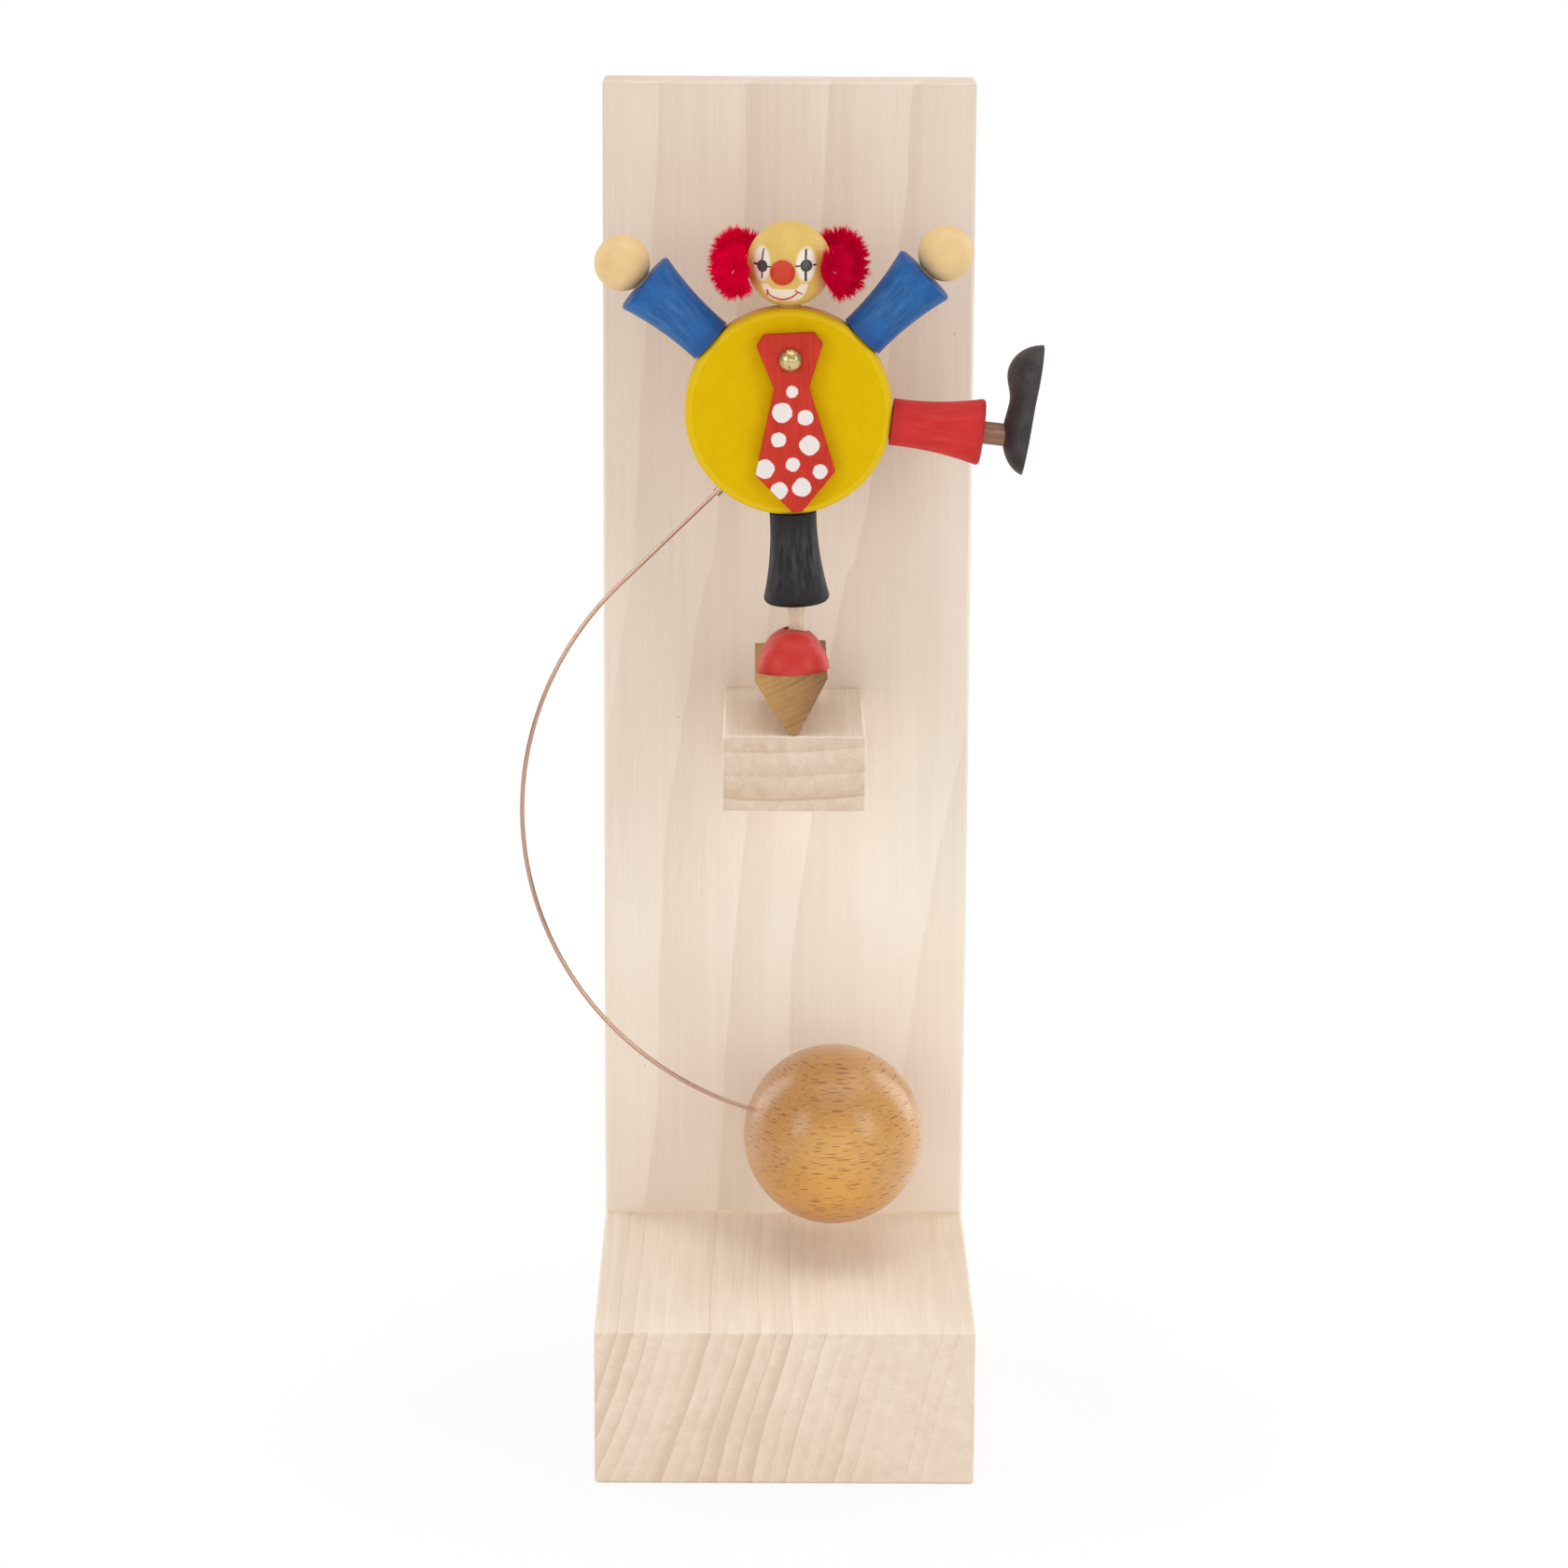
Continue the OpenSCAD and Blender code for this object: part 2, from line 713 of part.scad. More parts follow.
// The flat tie, cut from thin wood, hangs on its nail.
module tie() {
    knot_z = tie_top - 2.4;
    waist_z = -6.2;
    blade_z = -24.6;
    color("firebrick")
        at_nail()
            translate([0, 0, -tie_gap - tie_t])
                mirror([0, 1, 0])
                    linear_extrude(tie_t)
                        difference() {
                            polygon([[-knot_top_w / 2, tie_top], [-knot_w / 2, knot_z],
                                     [-waist_w / 2, waist_z], [-blade_w / 2, blade_z],
                                     [-tip_w / 2, -tie_drop], [tip_w / 2, -tie_drop],
                                     [blade_w / 2, blade_z], [waist_w / 2, waist_z],
                                     [knot_w / 2, knot_z], [knot_top_w / 2, tie_top]]);
                            circle(d = nail_d + 2 * nail_gap);
                        }
}

base_block();
back_board();
perch_shelf();
board_dowels();
shelf_dowels();
rocker_block();
red_shoe();
standing_leg_peg();
standing_leg();
body_disc();
raised_leg();
raised_leg_peg();
black_shoe();
left_sleeve();
right_sleeve();
left_arm_peg();
right_arm_peg();
left_hand();
right_hand();
neck_peg();
head();
nose();
hair_left();
hair_right();
balance_wire();
balance_ball();
tie_nail();
tie();
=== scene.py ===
import functools
import math
import random

import bpy
from bpy.props import FloatProperty, FloatVectorProperty, IntProperty, PointerProperty
from mathutils import Matrix, Vector


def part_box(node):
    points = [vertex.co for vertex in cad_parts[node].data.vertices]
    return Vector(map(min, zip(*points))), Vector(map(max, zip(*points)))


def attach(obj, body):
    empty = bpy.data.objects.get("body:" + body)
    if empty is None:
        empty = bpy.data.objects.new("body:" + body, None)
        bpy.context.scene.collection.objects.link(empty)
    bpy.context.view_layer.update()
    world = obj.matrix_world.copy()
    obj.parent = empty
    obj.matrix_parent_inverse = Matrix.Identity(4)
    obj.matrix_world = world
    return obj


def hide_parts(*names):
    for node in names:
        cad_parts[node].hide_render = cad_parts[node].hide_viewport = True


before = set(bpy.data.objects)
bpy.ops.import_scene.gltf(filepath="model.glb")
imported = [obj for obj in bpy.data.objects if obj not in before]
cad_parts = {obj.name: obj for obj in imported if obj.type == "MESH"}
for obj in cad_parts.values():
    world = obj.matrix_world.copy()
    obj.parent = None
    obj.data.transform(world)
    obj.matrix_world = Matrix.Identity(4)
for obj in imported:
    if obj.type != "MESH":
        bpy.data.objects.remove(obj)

bl_info = {
    "name": "Balancing clown looks",
    "version": (1, 0, 0),
    "blender": (4, 5, 0),
    "location": "3D View > Sidebar > Clown",
    "description": "Wood, paint, hair and studio for a clown that balances on a perch",
    "category": "Object",
}

MM = 0.001

# The clown of the photograph leans to the viewer's left, and its face is turned that way.
LEAN = math.radians(2.8)
FACE_TURN = math.radians(8)

# The hinge that the clown rocks on, in metres, and the radius of the keel's ridge round it.
ROCK_HINGE = (0.0013, 0.00525, 0.1597346)
RIDGE = 1.4 * MM

# The foot of the clown's own leaning axis, from which the tie's dots are measured.
CLOWN_START = (ROCK_HINGE[0] + RIDGE * math.sin(LEAN), ROCK_HINGE[1],
               ROCK_HINGE[2] - RIDGE * math.cos(LEAN))

# The white dots of the tie: across, up and radius, in millimetres.
TIE_DOTS = [(2.86, 72.83, 1.3), (0.52, 68.46, 2.16), (5.5, 67.12, 1.7), (-0.46, 62.51, 1.6),
            (6.13, 61.08, 2.14), (-3.79, 56.37, 2.1), (2.26, 57.1, 1.52), (8.14, 55.31, 1.58),
            (-0.94, 51.53, 1.82), (4.07, 52.04, 2.04)]

# The face, in millimetres from the middle of the head: across, up and the oval's half sizes.
EYE_WHITES = [(-4.9, 0.7, 1.95, 3.6), (4.6, 0.7, 1.93, 3.55)]
PUPILS = [(-4.73, 0.28), (4.73, 0.54)]

# Brush strokes from one point to another, with their width: the crossed eyes and the smile's ends.
EYE_STROKES = [(-4.55, 3.9, -4.85, 1.5, 0.36), (-4.85, -0.7, -4.8, -2.4, 0.36),
               (4.55, 4.0, 4.6, 1.5, 0.44), (4.62, -0.5, 4.6, -2.85, 0.52),
               (-6.85, 0.62, -5.75, 0.58, 0.5), (-3.8, 0.35, -2.75, 0.2, 0.32),
               (2.45, 0.5, 3.6, 0.5, 0.36), (6.05, 0.6, 6.75, 0.65, 0.4)]
SMILE_STROKES = [(-3.62, -4.81, -4.02, -6.33, 0.32), (-4.2, -5.2, -3.4, -5.5, 0.32),
                 (2.2, -4.9, 3.69, -5.8, 0.34)]


def srgb(red, green, blue):
    """A colour of 0 to 255 as linear values for a shader, with alpha."""
    def linear(c):
        c /= 255
        return c / 12.92 if c <= 0.04045 else ((c + 0.055) / 1.055) ** 2.4
    return (linear(red), linear(green), linear(blue), 1.0)


def darker(colour, share):
    """A colour with its three parts cut to a share."""
    return (*(share * part for part in colour[:3]), 1.0)


# The wood of the dowels and pegs that nothing shows, pale and dark.
HIDDEN_DOWEL = (srgb(226, 200, 168), srgb(196, 162, 124))


def middle(node):
    """The middle of a CAD node's box, in metres."""
    low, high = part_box(node)
    return (low + high) / 2


# Shader maths

class Value:
    """A socket that takes part in Python sums. Each sum adds a Math node."""

    def __init__(self, graph, socket):
        self.graph, self.socket = graph, socket

    def math(self, operation, *others):
        return self.graph.math(operation, self, *others)

    def __add__(self, other):
        return self.math("ADD", other)

    def __radd__(self, other):
        return self.graph.math("ADD", other, self)

    def __sub__(self, other):
        return self.math("SUBTRACT", other)

    def __rsub__(self, other):
        return self.graph.math("SUBTRACT", other, self)

    def __mul__(self, other):
        return self.math("MULTIPLY", other)

    def __rmul__(self, other):
        return self.graph.math("MULTIPLY", other, self)

    def __truediv__(self, other):
        return self.math("DIVIDE", other)

    def __pow__(self, other):
        return self.math("POWER", other)

    def __abs__(self):
        return self.math("ABSOLUTE")

    def step(self, low, high):
        """0 at low, 1 at high, smooth between them. low may be the larger one."""
        return self.graph.node("ShaderNodeMapRange", {"interpolation_type": "SMOOTHSTEP"},
                               {"Value": self, "From Min": low, "From Max": high})


def distance(aside, up):
    """How far a point lies from the middle."""
    return (aside * aside + up * up).math("SQRT")


def strongest(masks):
    """The largest of several masks."""
    return functools.reduce(lambda one, other: one.math("MAXIMUM", other), masks)


class Graph:
    """The nodes of a material or of a world. node() adds any kind of node."""

    def __init__(self, name, kind="materials"):
        self.owner = getattr(bpy.data, kind).new(name)
        self.owner.use_nodes = True
        self.tree = self.owner.node_tree
        self.tree.nodes.clear()

    def node(self, kind, settings=None, sockets=None, result=0):
        """Adds a node and returns its result, or a list where result is a tuple."""
        node = self.tree.nodes.new(kind)
        for key, value in (settings or {}).items():
            setattr(node, key, value)
        for key, value in (sockets or {}).items():
            if isinstance(value, Value):
                self.tree.links.new(value.socket, node.inputs[key])
            else:
                node.inputs[key].default_value = value
        if isinstance(result, tuple):
            return [Value(self, node.outputs[key]) for key in result]
        return Value(self, node.outputs[result]) if len(node.outputs) else node

    def math(self, operation, *values):
        return self.node("ShaderNodeMath", {"operation": operation}, dict(enumerate(values)))

    def mix(self, factor, first, second, how="MIX"):
        """Colour mixing. A factor outside 0 to 1 is clamped."""
        return self.node("ShaderNodeMix", {"data_type": "RGBA", "blend_type": how},
                         {0: factor, 6: first, 7: second}, result=2)

    def scaled(self, vector, scale):
        return self.node("ShaderNodeVectorMath", {"operation": "MULTIPLY"}, {0: vector, 1: scale})

    def place(self, middle=(0, 0, 0), turn=(0, 0, 0)):
        """Millimetres from a point on the piece, along axes turned by these angles."""
        here = self.node("ShaderNodeTexCoord", result="Object")
        return self.node("ShaderNodeMapping", {"vector_type": "TEXTURE"},
                         {"Vector": here, "Location": middle, "Rotation": turn,
                          "Scale": (MM, MM, MM)})

    def split(self, vector):
        return self.node("ShaderNodeSeparateXYZ", None, {0: vector}, ("X", "Y", "Z"))

    def join(self, x, y, z):
        return self.node("ShaderNodeCombineXYZ", None, {0: x, 1: y, 2: z})

    def noise(self, vector, scale, detail=2.0, roughness=0.5, distortion=0.0):
        """Noise from 0 to 1. scale is in features per unit along each axis."""
        at = self.scaled(vector, scale)
        return self.node("ShaderNodeTexNoise", None,
                         {"Vector": at, "Scale": 1.0, "Detail": detail,
                          "Roughness": roughness, "Distortion": distortion})

    def cells(self, vector, scale, result="Distance", flat=False):
        """Voronoi cells: the distance to a cell's point, or a random colour of the cell."""
        at = self.scaled(vector, scale)
        return self.node("ShaderNodeTexVoronoi", {"voronoi_dimensions": "2D" if flat else "3D"},
                         {"Vector": at, "Scale": 1.0}, result)

    def chance(self, number):
        """A random number of 0 to 1 for each whole number."""
        return self.node("ShaderNodeTexWhiteNoise", {"noise_dimensions": "1D"}, {"W": number})

    def surface(self, colour, roughness, height=None, depth=0.03, shine=0.5, **others):
        """Ends the material. depth is the height of the relief in millimetres."""
        sockets = {"Base Color": colour, "Roughness": roughness, "Specular IOR Level": shine,
                   **others}
        if height is not None:
            sockets["Normal"] = self.node("ShaderNodeBump", None,
                                          {"Distance": depth * MM, "Height": height})
        shader = self.node("ShaderNodeBsdfPrincipled", None, sockets)
        self.node("ShaderNodeOutputMaterial", None, {"Surface": shader})
        return self.owner


def dress(node, material):
    """Gives a CAD node its finish. The node's own mesh stays as it is."""
    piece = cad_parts[node]
    if not piece.material_slots:
        piece.data.materials.append(material)
    for slot in piece.material_slots:
        slot.material = material


# Wood finishes

def sawn_wood(name, centre, turn, pith, spacing, early, late, sway, contrast, slant=0.0,
              grain=1.0, phase=0.0, line=0.3, fade=0.0, across=0.0, streak=1.0, end=None,
              cut=0.0, calm=None):
    """Bare wood with growth rings round a pith. The grain runs along the turned Z axis.

    The pith is a place on X and Y, and slant moves it towards -X along Z. Each ring goes from
    pale to dark towards its outside and ends in a thin darker line, and sway is how far it
    wanders. fade, from 90 mm below the centre, and across make the wood darker along Z and X.
    end is the distance to the sawn ends, where the rings show more and the wood is darker by
    cut. calm is the stretch of X where the rings fade out.
    """
    g = Graph(name)
    at = g.place(centre, turn)
    x, y, z = g.split(at)
    drift = g.noise(at, (0.022, 0.022, 0.006), 1.0) - 0.5
    ripple = g.noise(at, (0.16, 0.16, 0.02), 2.0) - 0.5
    from_pith = distance(x - pith[0] + z * slant, y - pith[1])
    ring = (from_pith + drift * sway + ripple * (sway * 0.12)) / spacing + phase
    within = ring.math("FRACT")
    own = g.chance(ring.math("FLOOR"))
    late_line = within.step(0.84, 0.96) * within.step(1.0, 0.98) * own.step(0.1, 0.9)
    sawn = abs(z).step(end - 0.5, end - 0.1) if end else None
    strength = sawn * (contrast * 0.75) + contrast * 0.25 if end else contrast
    if calm:
        strength = (x.step(calm[1], calm[0]) * 0.8 + 0.2) * strength
    dark = within.step(0.0, 1.0) * (own * 0.4 + 0.2) + (own - 0.5) * 0.15 + late_line * line
    fibre = g.noise(at, (2.2 * grain, 2.2 * grain, 0.05), 4.0, 0.6)
    silk = g.noise(at, (0.4, 0.4, 0.012), 2.0)
    pore = g.noise(at, (4.0 * grain, 4.0 * grain, 0.35), 2.0).step(0.6, 0.76)
    cloud = g.noise(at, (0.03, 0.03, 0.012), 2.0)
    threads = (fibre - 0.5) * 0.7 + (silk - 0.5) * 0.5
    tone = dark * strength + threads * streak + (cloud - 0.5) * 0.5 + 0.3 \
        + (z + 90) * fade + x * across
    spots = pore * 0.12
    if end:
        tone = tone + sawn * cut
        spots = pore * (sawn * 0.14 + 0.08)
    colour = g.mix(tone, early, late)
    colour = g.mix(spots, colour, darker(late, 0.62))
    speck = g.cells(at, (0.12, 0.12, 0.08)).step(0.035, 0.015)
    colour = g.mix(speck * 0.4, colour, srgb(168, 134, 106))
    return g.surface(colour, 0.62, fibre * 0.6 - pore * 0.5, 0.04, shine=0.2)


def dowel_wood(name, centre, turn, early, late):
    """A turned dowel: straight fibres along the turned Z axis."""
    g = Graph(name)
    at = g.place(centre, turn)
    fibre = g.noise(at, (4.0, 4.0, 0.12), 4.0, 0.65)
    band = g.noise(at, (0.9, 0.9, 0.03), 2.0)
    pore = g.noise(at, (7.0, 7.0, 0.5), 1.0).step(0.58, 0.72)
    colour = g.mix((fibre - 0.5) * 1.6 + (band - 0.5) * 1.6 + 0.5, early, late)
    colour = g.mix(pore * 0.35, colour, darker(late, 0.5))
    return g.surface(colour, 0.6, fibre - pore, 0.04, shine=0.3)


def varnished_ball(name, centre, light, dark):
    """Beech under clear varnish: dark dashes round its upright axis and slow changes of tone, with
    painted shade at its top and bottom rim and a painted pool of light across its middle.
    """
    g = Graph(name)
    at = g.place(centre, (0, math.radians(90), 0))
    x, y, z = g.split(at)
    wave = (g.noise(at, (0.05, 0.05, 0.03), 2.0) - 0.5) * 4
    fibre = g.noise(at, (2.4, 2.4, 0.16), 3.0, 0.6)
    bent = g.join(x + wave * 0.5, y, z)
    # Painted shade: the tone goes darker towards the top, which the shelf overhangs, and it also
    # darkens towards the left.
    colour = g.mix((fibre - 0.5) * 1.3 + wave * 0.16 - x * 0.016 - z * 0.012 + 0.4, light, dark)
    # A painted pool of golden light across the middle of the ball.
    light_pool = distance((x - 3) / 12, (z - 1) / 9).step(1.3, 0.3)
    colour = g.mix(light_pool * 0.5, colour, srgb(230, 170, 74))
    # Painted shade: the bottom rim goes darker brown.
    colour = g.mix(x.step(9, 19) * 0.4, colour, srgb(176, 118, 50))
    from_pole = distance(z, y)
    round_the_ball = z.math("ARCTAN2", 0 - y) * from_pole
    dashes = []
    for grid in ((1.5, 0.17, 0), (1.15, 0.11, 0)):
        lie = g.join(x + wave * 0.9, round_the_ball + grid[0] * 40, 0)
        near = g.cells(lie, grid, flat=True)
        kind = g.split(g.cells(lie, grid, "Color", flat=True))[0]
        dashes.append((near + kind * 0.16).step(0.22, 0.12))
    fine = g.noise(bent, (4.5, 4.5, 0.4), 1.0).step(0.6, 0.72)
    colour = g.mix(fine * 0.12, colour, srgb(168, 110, 52))
    marks = strongest(dashes) * from_pole.step(4, 9)
    colour = g.mix(marks * 0.9, colour, srgb(138, 77, 16))
    return g.surface(colour, 0.45, fibre * 0.3 - marks, 0.015,
                     **{"Coat Weight": 0.85, "Coat Roughness": 0.24})


# Painted finishes

def painted(g, at, colour, spread, streaks, across=2.6, along=0.14):
    """Thin paint on turned wood: the fibres along Z show through. Returns colour and relief.

    spread is how unevenly the paint lies, and across and along are fibres for each millimetre.
    """
    fibre = g.noise(at, (across, across, along), 4.0, 0.62)
    pool = g.noise(at, (0.35, 0.35, 0.2), 3.0)
    light = g.mix(0.5, colour, (1, 1, 1, 1), "SOFT_LIGHT")
    dark = g.mix(0.6, colour, (0, 0, 0, 1), "SOFT_LIGHT")
    tone = 0.5 + (fibre - 0.5) * (streaks * 18) + (pool - 0.5) * (spread * 8)
    return g.mix(tone, dark, light), fibre


def paint(name, colour, centre, turn, roughness, spread, streaks, depth=0.03, shine=0.3):
    """A painted piece with its fibres along the turned Z axis."""
    g = Graph(name)
    at = g.place(centre, turn)
    skin, fibre = painted(g, at, colour, spread, streaks)
    dull = g.noise(at, (0.6, 0.6, 0.3), 2.0) - 0.5
    return g.surface(skin, dull * 0.14 + roughness, fibre, depth, shine)


def sleeve_paint(node, colour, edge, half, roughness, streaks, shine, painted_sheen):
    """Paint on a flared piece, with painted shade at both ends, where it meets the parts beside it,
    and a painted sheen of paler streaks along its middle.

    half is the distance from the piece's middle to its ends, in millimetres, and edge is the colour
    of the painted shade at the ends.
    """
    g = Graph(node + "_paint")
    at = g.place(*along_limb(node))
    z = g.split(at)[2]
    skin, fibre = painted(g, at, colour, 0.10, streaks)
    wander = (g.noise(at, (0.5, 0.5, 0.5), 2.0) - 0.5) * 1.2
    # Painted shade: the paint darkens to edge towards both ends of the piece.
    ends = (abs(z) + wander).step(half - 2.6, half - 0.4)
    skin = g.mix(ends * 0.55, skin, edge)
    # A painted sheen: paler grey streaks along the middle of the piece.
    sheen_streaks = g.noise(at, (0.7, 0.7, 0.1), 3.0, 0.6).step(0.4, 0.7) * abs(z).step(half, half * 0.3)
    skin = g.mix(sheen_streaks * painted_sheen * 0.3, skin, (0.6, 0.62, 0.66, 1))
    return g.surface(skin, fibre * 0.16 + roughness, fibre, shine=shine)


def rim_painted_disc(name, centre, colour, bare, bare_dark, edge):
    """The body: paint on the front and over the rim as far as edge, bare wood behind, and a painted
    highlight where the front's edge rounds over.
    """
    g = Graph(name)
    at = g.place(centre, (math.radians(90), 0, 0))
    x, y, depth = g.split(at)
    skin, fibre = painted(g, at, colour, 0.04, 0.015, 1.4, 0.5)
    brushed = g.noise(at, (0.5, 0.5, 0.9), 2.0) - 0.5
    wood_grain = g.noise(at, (0.35, 3.2, 3.2), 3.0, 0.6)
    wood = g.mix((wood_grain - 0.5) * 1.8 + 0.5, bare, bare_dark)
    cover = (depth + brushed * 0.9).step(edge - 0.12, edge + 0.12)
    # A painted highlight: a paler band where the front's edge rounds over.
    rim_highlight = (distance(x, y) + brushed * 0.3).step(20.8, 21.1)
    skin = g.mix(rim_highlight * 0.3, skin, srgb(240, 210, 60))
    return g.surface(g.mix(cover, wood, skin), 0.5, fibre, 0.015, shine=0.05)


def dotted_tie(name, colour, dots, dot_colour):
    """The tie's paint in the clown's own frame, with hand painted white dots."""
    g = Graph(name)
    at = g.place(CLOWN_START, (0, -LEAN, 0))
    x, _, z = g.split(at)
    skin, fibre = painted(g, at, colour, 0.08, 0.07, 2.4, 0.2)
    wobble = (g.noise(at, (0.5, 0.5, 0.5), 1.0) - 0.5) * 0.55 \
        + (g.noise(at, (2, 2, 2), 1.0) - 0.5) * 0.25
    mark = strongest((distance(x - across, z - up) + wobble - radius).step(0.09, -0.09)
                     for across, up, radius in dots)
    thin = g.noise(at, (3.0, 3.0, 0.6), 3.0)
    white = g.mix((thin - 0.62) * 3.0, dot_colour, skin)
    colour = g.mix(mark, skin, white)
    return g.surface(colour, 0.55, fibre + mark * 0.8, shine=0.22)


def painted_face(name, colour, centre, ink):
    """The head bead's paint with a doll's face: white eyes, crossed lines, pupils and mouth."""
    g = Graph(name)
    at = g.place(centre, (0, 0, -FACE_TURN))
    across, deep, up = g.split(at)
    front = deep.step(0.5, -0.5)
    skin, fibre = painted(g, at, colour, 0.05, 0.02, 1.2, 0.5)
    shake = (g.noise(at, (0.9, 0.9, 0.9), 2.0) - 0.5) * 0.5

    def oval(aside, high, half_wide, half_high, soft=0.2, wobble=0.4):
        wide, tall = across - aside + shake * wobble, up - high + shake * wobble
        return distance(wide / half_wide, tall / half_high).step(1 + soft, 1 - soft)

    def stroke(start_x, start_z, end_x, end_z, width):
        """A short straight brush stroke between two points."""
        length = math.hypot(end_x - start_x, end_z - start_z)
        way_x, way_z = (end_x - start_x) / length, (end_z - start_z) / length
        along = (across - start_x) * way_x + (up - start_z) * way_z
        off = abs((up - start_z) * way_x - (across - start_x) * way_z + shake * 0.06)
        beyond = abs(along - length / 2)
        return off.step(width / 2 + 0.06, width / 2 - 0.06) \
            * beyond.step(length / 2 + 0.1, length / 2 - 0.1)

    top = abs(across).step(2.3, 3.9) * 1.13 - 4.66
    bottom = (abs(across + 0.1) / 4.95) ** 4.5 * 3.3 - 7.55
    mouth = (up - top + shake * 0.3).step(0.3, -0.3) \
        * (up - bottom + shake * 0.3).step(-0.3, 0.4) * abs(across).step(5.25, 4.95)
    eyes = strongest(oval(*eye) for eye in EYE_WHITES)
    whites = strongest((eyes * 0.94, mouth * 0.78))
    thin = g.noise(at, (1.4, 1.4, 1.4), 3.0)
    white = g.mix((thin - 0.58) * 1.8, srgb(243, 235, 222), srgb(234, 214, 168))

    lines = strongest([stroke(*line) for line in EYE_STROKES]
                      + [oval(*pupil, 1.2, 1.3, 0.06, 0.2) for pupil in PUPILS])
    middles = strongest(oval(*pupil, 0.8, 0.95, 0.3, 0.2) for pupil in PUPILS)
    grey = g.noise(at, (2.2, 2.2, 2.2), 3.0).step(0.35, 0.65)
    dark = g.mix(grey * 0.4 + middles * 0.25, ink, srgb(104, 106, 106))

    curve = up - (across * across * 0.136 + across * 0.19 - 7.01)
    bow = abs(curve + shake * 0.1).step(0.32, 0.14) * (across + 3.84).step(-0.1, 0.1) \
        * (across - 2.96).step(0.1, -0.1)
    smile = strongest([bow] + [stroke(*line) for line in SMILE_STROKES])

    colour = g.mix(whites * front, skin, white)
    colour = g.mix(lines * front, colour, dark)
    colour = g.mix(smile * front, colour, srgb(204, 48, 36))
    raised = (whites + lines * 0.6 + smile * 0.6) * front
    return g.surface(colour, 0.42 - lines * front * 0.08, raised + fibre * 0.2, shine=0.3)


def bright_metal(name, colour, dark, centre, roughness, spots=0.3, scratches=(6.0, 0.9, 1.6)):
    """Drawn or stamped metal with fine scratches and a few dull, dark spots that are tarnish and
    painted dark reflections.
    """
    g = Graph(name)
    at = g.place(centre)
    scratch = g.noise(at, scratches, 4.0, 0.65)
    # The dull dark spots are partly tarnish and partly painted dark reflections.
    tarnish_and_reflection = g.noise(at, (1.1, 1.1, 1.1), 3.0, 0.6, 0.6).step(0.54, 0.66)
    tone = g.mix(tarnish_and_reflection * spots, colour, dark)
    return g.surface(tone, scratch * 0.16 + tarnish_and_reflection * 0.12 + roughness, scratch, 0.004,
                     Metallic=1.0)


def chenille(name, root, tip):
    """Short rayon bristles: the root colour inside the curl and, at its outline, a lighter tip
    colour that is painted back light. A weak glow of their own colour is painted light too.
    """
    g = Graph(name)
    reach = g.node("ShaderNodeAttribute", {"attribute_name": "reach"}, result="Fac")
    at = g.place()
    tuft = g.noise(at, (1.6, 1.6, 1.6), 2.0)
    # Painted light: the tips at the curl's outline are lighter, as if lit from behind through the
    # fibres.
    colour = g.mix(reach.step(0.8, 1.1) * 0.9 + (tuft - 0.5) * 0.15, root, tip)
    # A painted glow: the bristles give off some of their own colour as light, which evens out their
    # shading.
    return g.surface(colour, 0.8, shine=0.0, **{"Emission Color": colour,
                                                "Emission Strength": 0.2})


# Modelling helpers

def alone(piece=None):
    """Selects one piece and nothing else."""
    if bpy.context.object and bpy.context.object.mode != "OBJECT":
        bpy.ops.object.mode_set(mode="OBJECT")
    bpy.ops.object.select_all(action="DESELECT")
    if piece is not None:
        piece.select_set(True)
        bpy.context.view_layer.objects.active = piece


def new_object(name, data):
    """Adds an object to the scene."""
    piece = bpy.data.objects.new(name, data)
    bpy.context.scene.collection.objects.link(piece)
    return piece


def select_where(piece, chosen):
    """Selects the vertices that chosen says yes to, and the edges and faces between them."""
    vertices = piece.data.vertices
    for vertex in vertices:
        vertex.select = chosen(vertex.co)
    for part in (*piece.data.edges, *piece.data.polygons):
        part.select = all(vertices[i].select for i in part.vertices)


def tube(name, thick, smooth, routes):
    """Sweeps a round tube along routes of (point, share of the thickness), as one mesh."""
    line = bpy.data.curves.new(name, "CURVE")
    line.dimensions, line.bevel_depth, line.bevel_resolution = "3D", thick, smooth
    line.use_fill_caps = True
    for route in routes:
        spline = line.splines.new("POLY")
        spline.points.add(len(route) - 1)
        for knot, (point, share) in zip(spline.points, route):
            knot.co, knot.radius = (*point, 1), share
    piece = new_object(name, line)
    alone(piece)
    bpy.ops.object.convert(target="MESH")
    bpy.ops.object.shade_smooth()
    return piece


def eased_copy(node, name, material, width, segments, body):
    """A copy of a CAD node whose sawn edges are softened. It stands for the node."""
    piece = new_object(name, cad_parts[node].data.copy())
    alone(piece)
    bpy.ops.object.mode_set(mode="EDIT")
    bpy.ops.mesh.select_all(action="SELECT")
    bpy.ops.mesh.remove_doubles(threshold=0.002 * MM)
    bpy.ops.mesh.dissolve_limited(angle_limit=math.radians(0.5))
    bpy.ops.object.mode_set(mode="OBJECT")
    bevel = piece.modifiers.new("Bevel", "BEVEL")
    bevel.width, bevel.segments, bevel.use_clamp_overlap = width * MM, segments, True
    bevel.limit_method, bevel.angle_limit = "ANGLE", math.radians(35)
    bpy.ops.object.modifier_apply(modifier=bevel.name)
    bpy.ops.object.shade_smooth_by_angle(angle=math.radians(40))
    piece.data.materials.clear()
    piece.data.materials.append(material)
    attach(piece, body)
    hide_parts(node)


# Settings

def colour_setting(name, text, value):
    return FloatVectorProperty(name=name, description=text, subtype="COLOR", size=4,
                               min=0, max=1, default=value)


